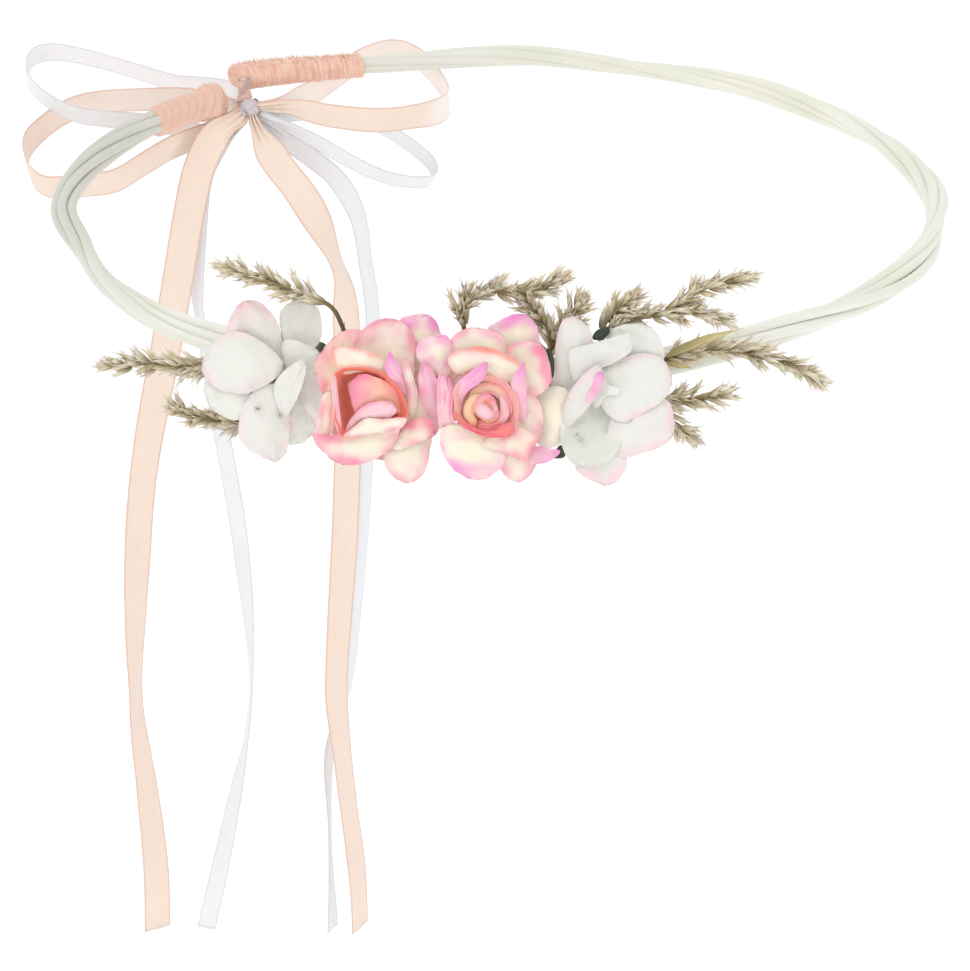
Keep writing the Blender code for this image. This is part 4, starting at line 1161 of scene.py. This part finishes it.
def petal(shape, frame_of, spec, seed):
    """A sheet of paper between the two sides of its outline, domed, crumpled and curled at its rim."""
    rows_count, columns = 27, 21
    middle, right, up, facing = frame_of
    heading, base_out, tip_out, dome, dye, outline = spec
    paper_colour, rim_colour, rim_width, rim_strength, wash_colour, wash_strength = DYES[dye]
    ahead = np.array([math.cos(math.radians(heading)), math.sin(math.radians(heading))])
    curve = closed_curve(outline, 8)
    along = curve @ ahead
    nearest, span = float(along.min()), float(along.max() - along.min())
    base, tip = int(np.argmin(along)), int(np.argmax(along))
    ring = np.concatenate([curve[base:], curve[:base]])
    tip = (tip - base) % len(ring)
    one = resampled(ring[: tip + 1], rows_count)
    other = resampled(np.concatenate([ring[tip:], ring[:1]])[::-1], rows_count)
    size = math.sqrt(np.ptp(curve[:, 0]) * np.ptp(curve[:, 1]))
    lift = min(1.0, size / 8)
    rows, places, tints = [], [], []
    for i in range(rows_count):
        s = i / (rows_count - 1)
        row, spots, colours = [], [], []
        for j in range(columns):
            t = 0.5 - 0.5 * math.cos(math.pi * j / (columns - 1))
            spot = one[i] * (1 - t) + other[i] * t
            x = 2 * t - 1
            away = float(np.sqrt(((curve - spot) ** 2).sum(axis=1).min()))
            share = (float(spot @ ahead) - nearest) / span
            rim = max(0.0, 1 - away / (0.14 * size))
            # How far forward: from base to tip, domed, rim turned up or down, then broad and fine crumples
            out = base_out + (tip_out - base_out) * (smoothstep(share) * 0.5 + share * 0.5)
            out += 0.8 * dome * (1 - x * x) * math.sin(math.pi * s)
            turned = 0.9 * noise.noise((*spot * 0.3, seed + 9.0)) - 0.1
            out += turned * lift * rim * rim * smoothstep(share * 2)
            out += 0.5 * lift * noise.noise((spot[0] * 0.24 + seed, spot[1] * 0.24, 1.0))
            out += 0.26 * lift * noise.noise((*spot * 0.7, seed))
            out += 0.11 * math.sin(x * 7 + 2 * noise.noise((share * 2, x, seed))) * smoothstep(share * 1.5)
            out += 0.32 * rim * noise.noise((*spot * 1.3, seed + 5.0))
            row.append(middle + right * spot[0] + up * spot[1] + facing * out)
            spots.append((x * size / 2, share * span, 0.0))
            stain = noise.noise((*spot * 0.42, seed + 3.0))
            edge = smoothstep(1 - away / rim_width + 0.5 * stain) * rim_strength * smoothstep(share * 2.2)
            edge *= 0.75 + 0.5 * stain
            wash = wash_strength * smoothstep((share - 0.4 + 0.3 * stain) / 0.6)
            washed = lerp(paper_colour, wash_colour, max(0.0, wash))
            colours.append(lerp(washed, rim_colour, max(0.0, edge)))
        rows.append(row)
        places.append(spots)
        tints.append(colours)
    shape.grid(rows, places, tints)


def cup(shape, frame_of, spec, seed):
    """A bowl of overlapped petals seen from above, deepest in colour at its wall."""
    middle, right, up, facing = frame_of
    rim_out, floor_out, floor_share, floor_colour, rim_colour, outline = spec
    curve = closed_curve(outline, 6)
    centre = curve.mean(axis=0)
    steps, floor_steps = 16, 0.3
    rows, places, tints = [], [], []
    for i in range(steps + 1):
        s = i / steps
        wall = max(0.0, (s - floor_steps) / (1 - floor_steps))
        floor_grow, wall_grow = s / floor_steps * floor_share, floor_share + (1 - floor_share) * wall**0.75
        grow = floor_grow if s < floor_steps else wall_grow
        row, spots, colours = [], [], []
        for k, edge in enumerate(curve):
            turn = 2 * math.pi * k / len(curve)
            spot = centre + (edge - centre) * grow
            out = floor_out + (rim_out - floor_out) * wall**1.2
            out += wall * 0.5 * noise.noise((math.cos(turn) * 1.6, math.sin(turn) * 1.6, seed))
            row.append(middle + right * spot[0] + up * spot[1] + facing * out)
            spots.append((abs(turn - math.pi) * 4, s * 6, 0.0))
            stain = 0.5 + 0.7 * noise.noise((*spot * 0.5, seed))
            towards_rim = min(1.0, max(0.0, wall * 0.8 + 0.4 * stain - 0.2))
            colours.append(lerp(floor_colour, rim_colour, towards_rim))
        rows.append(row)
        places.append(spots)
        tints.append(colours)
    shape.grid(rows, places, tints, around=True)


def round_outline(heading, length, width):
    """A rounded petal outline from its base at the rose's middle."""
    c, s = math.cos(math.radians(heading)), math.sin(math.radians(heading))
    outline = []
    for k in range(12):
        turn = 2 * math.pi * k / 12
        forth = length * (0.5 + 0.5 * math.cos(turn))
        side = width / 2 * math.sin(turn) * (0.75 + 0.25 * math.cos(turn))
        outline.append((forth * c - side * s, forth * s + side * c))
    return outline


white_paper = paper("white_paper")
pink_paper = paper("pink_paper")
for k, specs in enumerate(PETALS):
    flower = Shape()
    frame_of = rose_frame(k)
    pale = k in PALE_ROSES
    for index, spec in enumerate(specs):
        petal(flower, frame_of, spec, 10.0 * k + index * 1.37)
    if k in CUPS:
        cup(flower, frame_of, CUPS[k], 3.0 + k)
    # Two layers of plain petals behind, which the photo doesn't show
    dye = "white" if pale else "pale_rim"
    for index in range(BACK_PETALS):
        heading = 360 * index / BACK_PETALS + 17 * k
        tall = abs(math.sin(math.radians(heading)))
        outline = round_outline(heading, 8.6 + 2.2 * tall, 8.6)
        petal(flower, frame_of, (heading, -4.4, -3.4, 0.6, dye, outline), 70.0 + 7 * k + index)
        outline = round_outline(heading + 25, 6.4 + 1.5 * tall, 7.4)
        petal(flower, frame_of, (heading + 25, -3.0, -2.6, 0.5, dye, outline), 90.0 + 7 * k + index)
    middle, right, up, facing = frame_of
    rng = random.Random(40 + k)
    for x, y, out in STAMENS.get(k, []):
        for _ in range(STAMENS_A_BUNCH):
            root = middle + right * x + up * y + facing * (out - 2.0)
            sway = right * rng.uniform(-0.6, 0.6) + up * rng.uniform(-0.5, 0.5)
            stamen = [root, root + sway * 0.7 + facing * 1.3, root + sway + facing * 1.9]
            flower.tube(stamen, [0.08, 0.08, 0.12], 5, tint=STAMEN)
    obj = flower.make(f"rose_{k + 1}_petals", white_paper if pale else pink_paper, thickness=0.16)
    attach(obj, "crown")
    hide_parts(*(f"rose_{k + 1}_{part}" for part in ("outer", "middle", "inner", "bud")))

# ---------------------------------------------------------------- sprigs

# Sprigs: (bearing of the root, clock angle round the hoop, bare share of the length), then the course as
# bearings, distances outside the hoop and heights
SPRIGS = {
    "sprig_1": (
        (-16.8, 60, 0.5),
        [(-18.0, 4.5, 12.0), (-20.0, 5.5, 14.5), (-22.5, 7.5, 16.5), (-25.5, 10.0, 19.0),
         (-28.0, 12.0, 20.5)],
    ),
    "sprig_2": (
        (-26.5, 20, 0.48),
        [(-29.0, 12.5, 2.0), (-31.0, 16.5, 1.8), (-34.0, 21.0, 2.7), (-36.5, 26.0, 3.0)],
    ),
    "sprig_3": (
        (-24.5, -50, 0.4),
        [(-26.0, 11.5, -8.5), (-28.0, 15.5, -8.2), (-30.0, 19.0, -6.5), (-31.0, 21.0, -5.0)],
    ),
    "sprig_4": (
        (-3.0, 75, 0.35),
        [(-4.0, 0.0, 9.5), (-3.9, 0.0, 13.5), (-2.0, 0.0, 15.6), (1.0, 0.0, 16.0), (4.0, 0.3, 16.0),
         (6.5, 0.5, 17.6)],
    ),
    "sprig_5": (
        (6.0, 70, 0.35),
        [(6.1, 1.0, 6.5), (5.5, 1.0, 9.5), (4.4, 0.8, 12.0), (3.2, 0.6, 14.2)],
    ),
    "sprig_6": (
        (10.5, 60, 0.3),
        [(11.5, 4.0, 8.0), (13.0, 4.5, 10.8), (15.5, 5.5, 11.7), (18.0, 6.7, 13.0), (20.5, 8.0, 16.0),
         (23.0, 9.7, 18.2), (25.2, 11.7, 19.3)],
    ),
    "sprig_7": (
        (18.5, 30, 0.2),
        [(18.9, 4.0, 2.4), (21.3, 5.5, 3.6), (24.0, 7.2, 4.0), (26.6, 9.5, 3.5), (29.4, 12.0, 2.2),
         (31.4, 14.0, 0.6), (33.0, 15.5, -1.6)],
    ),
    "sprig_8": (
        (16.5, -40, 0.3),
        [(17.5, 7.0, -4.5), (19.0, 8.0, -4.1), (21.0, 9.5, -3.6), (23.2, 11.2, -3.0)],
    ),
}
# Side shoots: a route for each, starting on its sprig
SHOOTS = {
    "sprig_5": [[(6.2, 1.2, 7.5), (7.8, 2.4, 11.0), (8.8, 3.0, 14.2)]],
    "sprig_6": [
        [(11.4, 3.9, 9.5), (12.4, 4.2, 12.4), (14.2, 4.9, 15.0)],
        [(18.0, 6.7, 13.0), (21.0, 9.0, 12.6), (23.0, 10.5, 11.8)],
    ],
    "sprig_8": [[(17.8, 8.0, -5.0), (18.6, 9.2, -8.0), (20.0, 10.0, -10.2)]],
}
# Long pointed leaves: sprig, start, end, width
LONG_LEAVES = [
    ("sprig_7", (19.4, 5.6, 4.6), (26.0, 10.4, 9.4), 1.7),
    ("sprig_7", (19.6, 5.4, 4.0), (24.6, 9.0, 8.2), 1.4),
    ("sprig_7", (18.8, 4.6, 3.2), (22.5, 7.8, 6.6), 1.3),
    ("sprig_7", (18.6, 4.8, 2.0), (21.4, 7.0, 1.2), 1.1),
]
SPRIG_STEP = 0.8
LEAFY_STEPS = 4
STALK_RADIUS = 0.42
BLADE_BREADTHS = (0.55, 0.85, 1.0, 0.95, 0.6, 0.28, 0.04)
BLADES_A_FLORET = 5
MAUVE_SHARE = 0.12
TAN = (0.85, 0.70, 0.42)
STRAW_CREAM = (1.0, 0.94, 0.79)
# Olive is the stems' own colour, and also painted shade at the florets' bases and the blades' sides
OLIVE_AND_SHADE = (0.24, 0.19, 0.085)
LEAF_GREEN = (0.42, 0.36, 0.15)
LEAF_TIP = (0.82, 0.70, 0.36)
DARK = (0.09, 0.085, 0.06)
MAUVE = (0.62, 0.48, 0.46)


def any_way(rng):
    return np.array([rng.uniform(-1, 1), rng.uniform(-1, 1), rng.uniform(-1, 1)])


def blade(shape, root, way, out, length, width, spread, low_tint, tip_tint):
    """One papery calyx point: along the tube at first, then bending outwards to a fine tip."""
    side = unit(np.cross(way, out))
    rows, places, tints = [], [], []
    place = np.array(root, float)
    steps = len(BLADE_BREADTHS) - 1
    for i, breadth in enumerate(BLADE_BREADTHS):
        share = i / steps
        lean = spread * max(0.0, share - 0.25) ** 1.3 * 1.6
        ahead = way * math.cos(lean) + out * math.sin(lean)
        lift = out * math.cos(lean) - way * math.sin(lean)
        half = side * (width / 2 * breadth)
        keel = lift * (width * 0.28 * breadth)
        rows.append([place - half, place + keel, place + half])
        places.append([(across, share * length, 0) for across in (-width / 2, 0, width / 2)])
        tint = lerp(low_tint, tip_tint, smoothstep(share * 1.3))
        # The sides go a little towards olive: partly the blade's own colour, partly painted shade
        edge_tint = lerp(tint, OLIVE_AND_SHADE, 0.22)
        tints.append([edge_tint, tint, edge_tint])
        place = place + ahead * (length / steps)
    shape.grid(rows, places, tints)


def floret(shape, root, way, length, rng):
    """A tuft of pointed blades that part from one short tube."""
    side = unit(np.cross(way, any_way(rng)))
    other = np.cross(way, side)
    start = rng.uniform(0, 2 * math.pi)
    # Blades start olive at their base: partly the calyx's own colour, partly painted shade between florets
    low = lerp(TAN, OLIVE_AND_SHADE, rng.uniform(0.3, 1.0))
    tip = lerp(STRAW_CREAM, MAUVE if rng.random() < MAUVE_SHARE else TAN, rng.uniform(0.0, 0.6))
    for k in range(BLADES_A_FLORET):
        angle = start + 2 * math.pi * k / BLADES_A_FLORET
        out = side * math.cos(angle) + other * math.sin(angle)
        reach = length * rng.uniform(0.75, 1.2)
        bend = rng.uniform(0.35, 1.25)
        blade(shape, root + out * 0.16, way, out, reach, rng.uniform(0.6, 1.1), bend, low, tip)


def leafy_spine(shape, spine, rng):
    """A stem with florets all round it, and a tuft of them at its tip."""
    shape.tube(spine, list(np.linspace(0.36, 0.16, len(spine))), 6, tint=lerp(OLIVE_AND_SHADE, TAN, 0.15))
    tangents = np.gradient(spine, axis=0)
    for i in range(0, len(spine) - 1, 2):
        share = i / (len(spine) - 1)
        ahead = unit(tangents[i])
        for _ in range(4):
            around = unit(np.cross(ahead, any_way(rng)))
            lean = rng.uniform(0.15, 0.85)
            way = unit(ahead * math.cos(lean) + around * math.sin(lean))
            length = rng.uniform(3.6, 5.6) * (1 - 0.2 * share)
            floret(shape, spine[i] + around * rng.uniform(0.1, 0.6), way, length, rng)
    for _ in range(5):
        around = unit(np.cross(tangents[-1], any_way(rng)))
        way = unit(unit(tangents[-1]) + around * 0.35)
        floret(shape, spine[-1], way, rng.uniform(3.0, 4.4), rng)


dried = dry_plant("dried_calyx")
stem_dry = dry_plant("dried_stem")
for number, (name, ((bearing, clock, bare), points)) in enumerate(SPRIGS.items()):
    rng = random.Random(100 + number)
    root = bundle_point(bearing - 90, math.radians(clock), 0.6)
    route = smooth_route([root, *(beside_hoop(*p) for p in points)], SPRIG_STEP)
    split = round(bare * len(route))
    stalk = route[: split + 4]
    stem = Shape()
    stem_tints = [lerp(DARK, OLIVE_AND_SHADE, smoothstep(i / (split + 3))) for i in range(len(stalk))]
    stem.tube(stalk, [STALK_RADIUS] * len(stalk), 8, tints=stem_tints)
    for i in range(2, split, 4):
        away = unit(any_way(rng))
        way = unit(route[i + 1] - route[i] + away * 0.35)
        blade(stem, route[i], way, away, 1.8, 0.4, 0.8, DARK, OLIVE_AND_SHADE)
    stem_obj = stem.make(f"{name}_stalk", stem_dry)
    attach(stem_obj, "crown")
    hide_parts(f"{name}_stem")
    head = Shape()
    leafy_spine(head, route[max(0, split - LEAFY_STEPS) :], rng)
    for shoot in SHOOTS.get(name, []):
        leafy_spine(head, smooth_route([beside_hoop(*p) for p in shoot], SPRIG_STEP), rng)
    for owner, start, end, width in LONG_LEAVES:
        if owner == name:
            root, tip = beside_hoop(*start), beside_hoop(*end)
            length = float(np.linalg.norm(tip - root))
            front = np.array([0.0, -1.0, 0.0])
            blade(head, root, unit(tip - root), front, length, width, 0.25, LEAF_GREEN, LEAF_TIP)
    head_obj = head.make(f"{name}_calyces", dried)
    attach(head_obj, "crown")
    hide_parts(f"{name}_head")

# The roses' own stems keep CAD's shape and take the tape's look
for k in range(len(PETALS)):
    for stem_slot in nodes[f"rose_{k + 1}_stem"].material_slots:
        stem_slot.material = green_tape

# ---------------------------------------------------------------- floor

FLOOR_HALF = 40.0
FLOOR_DROP = 0.62
FLOOR_COLOUR = (0.95, 0.95, 0.95, 1.0)
FLOOR_GLOW = 0.12
n = Nodes("floor")
grain = n.noise(n.object_place(), 60.0)
n.shader.inputs["Emission Color"].default_value = (1.0, 1.0, 1.0, 1.0)
n.shader.inputs["Emission Strength"].default_value = FLOOR_GLOW
plain = n.new("ShaderNodeRGB").outputs[0]
plain.default_value = FLOOR_COLOUR
floor_material = n.finish(n.shade(plain, grain, 0.99, 1.01), 0.9)
corners = [(FLOOR_HALF * x, FLOOR_HALF * y, -FLOOR_DROP) for x, y in ((-1, -1), (1, -1), (1, 1), (-1, 1))]
mesh = bpy.data.meshes.new("floor")
mesh.from_pydata(corners, [], [(0, 1, 2, 3)])
mesh.materials.append(floor_material)
floor = bpy.data.objects.new("floor", mesh)
bpy.context.scene.collection.objects.link(floor)
